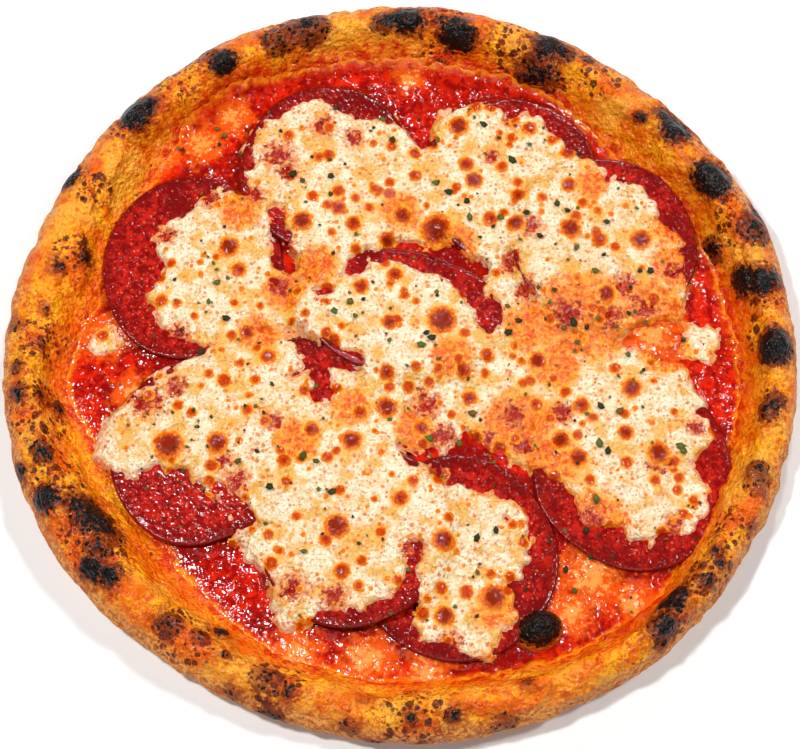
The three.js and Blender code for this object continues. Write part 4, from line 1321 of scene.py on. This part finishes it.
def herb_material():
    look = Finish("dried_herb", HERB_COLOURS)
    tone = look.mask("tone")
    look.colour = look.two_colours(look.cut(tone, 0.25, 0.6), "dark_leaf", "olive")
    look.glaze(look.cut(tone, 0.8, 0.95), "brown")
    return look.finish(0.7, 0.15, grain=(0.8, 0.3), drops=(0.8, 1.0))


add_piece("herb_flakes", np.concatenate(herb_points), herb_faces, herb_material(),
          {"tone": np.array(tones)})

# %% [markdown]
# ## The big bubble in the sauce
#
# One bubble of dough rose through the sauce beside the rim and burnt black. It belongs to the
# crust in the CAD model. Here it is a dome of its own with the crust's material, because it is
# easier to give a separate dome its wrinkles than to cut it into the swept rim.

# %% Dough bubble
BUBBLE = dict(x=50, y=-107, rx=9.5, ry=8, rz=11, z=3, turn=20)
BUBBLE_STEPS = 72
BUBBLE_TILTS = np.radians(np.linspace(2, 86, 30))
BUBBLE_SHOWS = 7  # how much of its height stands over the sauce
bubble_turn = math.radians(BUBBLE["turn"])
around = np.arange(BUBBLE_STEPS) / BUBBLE_STEPS * 2 * math.pi


def bubble_ring(tilt):
    u = BUBBLE["rx"] * math.cos(tilt) * np.cos(around)
    v = BUBBLE["ry"] * math.cos(tilt) * np.sin(around)
    c, s = math.cos(bubble_turn), math.sin(bubble_turn)
    z = np.full(BUBBLE_STEPS, BUBBLE["z"] + BUBBLE["rz"] * math.sin(tilt))
    return np.stack([BUBBLE["x"] + u * c - v * s, BUBBLE["y"] + u * s + v * c, z], axis=-1)


rings = np.array([bubble_ring(tilt) for tilt in BUBBLE_TILTS])
bubble_middle = np.array([BUBBLE["x"], BUBBLE["y"], BUBBLE["z"]])
wrinkles = layers(rings, (0.03, 7, 51), (0.02, 3, 52)) - 0.03
rings = rings + (rings - bubble_middle) * wrinkles[..., None]
tip = rings[-1].mean(axis=0)
bubble_points = np.concatenate([[bubble_middle], rings.reshape(-1, 3), [tip]])
up_the_bubble = (bubble_points[:, 2] - SAUCE_TOP) / BUBBLE_SHOWS
ones = np.ones(len(bubble_points))
bubble_masks = {"burnt": up_the_bubble * 1.8 - 0.8, "darkness": ones, "halo": 0.5 * ones,
                "freckled": 0 * ones, "stained": -1 * ones, "floury": 0 * ones,
                "underside": 0 * ones}
add_piece("dough_bubble", bubble_points, skin_faces(len(rings), BUBBLE_STEPS), baked_crust,
          bubble_masks)

# %% [markdown]
# ## Floor and light
#
# The pizza lies on a plain pale floor. The photograph's light is soft, with many small glints
# on the oil. A broad light alone gives no glints, and small ones alone give hard shadows, so
# one broad light stands with three small bright ones, in a room that glows faintly.

# %% Floor
floor_mesh = bpy.data.meshes.new("floor")
floor_mesh.from_pydata([(-3, -3, 0), (3, -3, 0), (3, 3, 0), (-3, 3, 0)], [], [(0, 1, 2, 3)])
floor_piece = bpy.data.objects.new("floor", floor_mesh)
bpy.context.collection.objects.link(floor_piece)
floor_piece.location.z = -0.2 * MM
floor_look = Finish("pale_floor", {})
floor_look.shader.inputs["Base Color"].default_value = (0.92, 0.92, 0.92, 1)
floor_look.shader.inputs["Roughness"].default_value = 0.9
floor_mesh.materials.append(floor_look.material)

# %% Lights
# Each lamp's place and size in metres, and its power in watts.
LAMPS = {
    "key": ((-0.5, 0.0, 1.15), 0.13, 10.2),
    "side": ((0.75, 0.1, 1.0), 0.14, 6.0),
    "front": ((0.0, -0.9, 1.1), 0.8, 3),
    "back": ((0.25, 1.1, 0.95), 0.12, 7),
}
for name, (place, size, power) in LAMPS.items():
    lamp = bpy.data.lights.new(name, "AREA")
    lamp.size = size
    lamp.energy = power
    light = bpy.data.objects.new(name, lamp)
    bpy.context.collection.objects.link(light)
    light.location = place
    light.rotation_euler = (-Vector(place)).to_track_quat("-Z", "Y").to_euler()

print("lamps:", ", ".join(LAMPS))
world = bpy.data.worlds.new("room")
bpy.context.scene.world = world
world.use_nodes = True
room = world.node_tree.nodes["Background"]
room.inputs["Color"].default_value = (1, 1, 1, 1)
room.inputs["Strength"].default_value = 0.1
bpy.context.scene.view_settings.view_transform = "Standard"
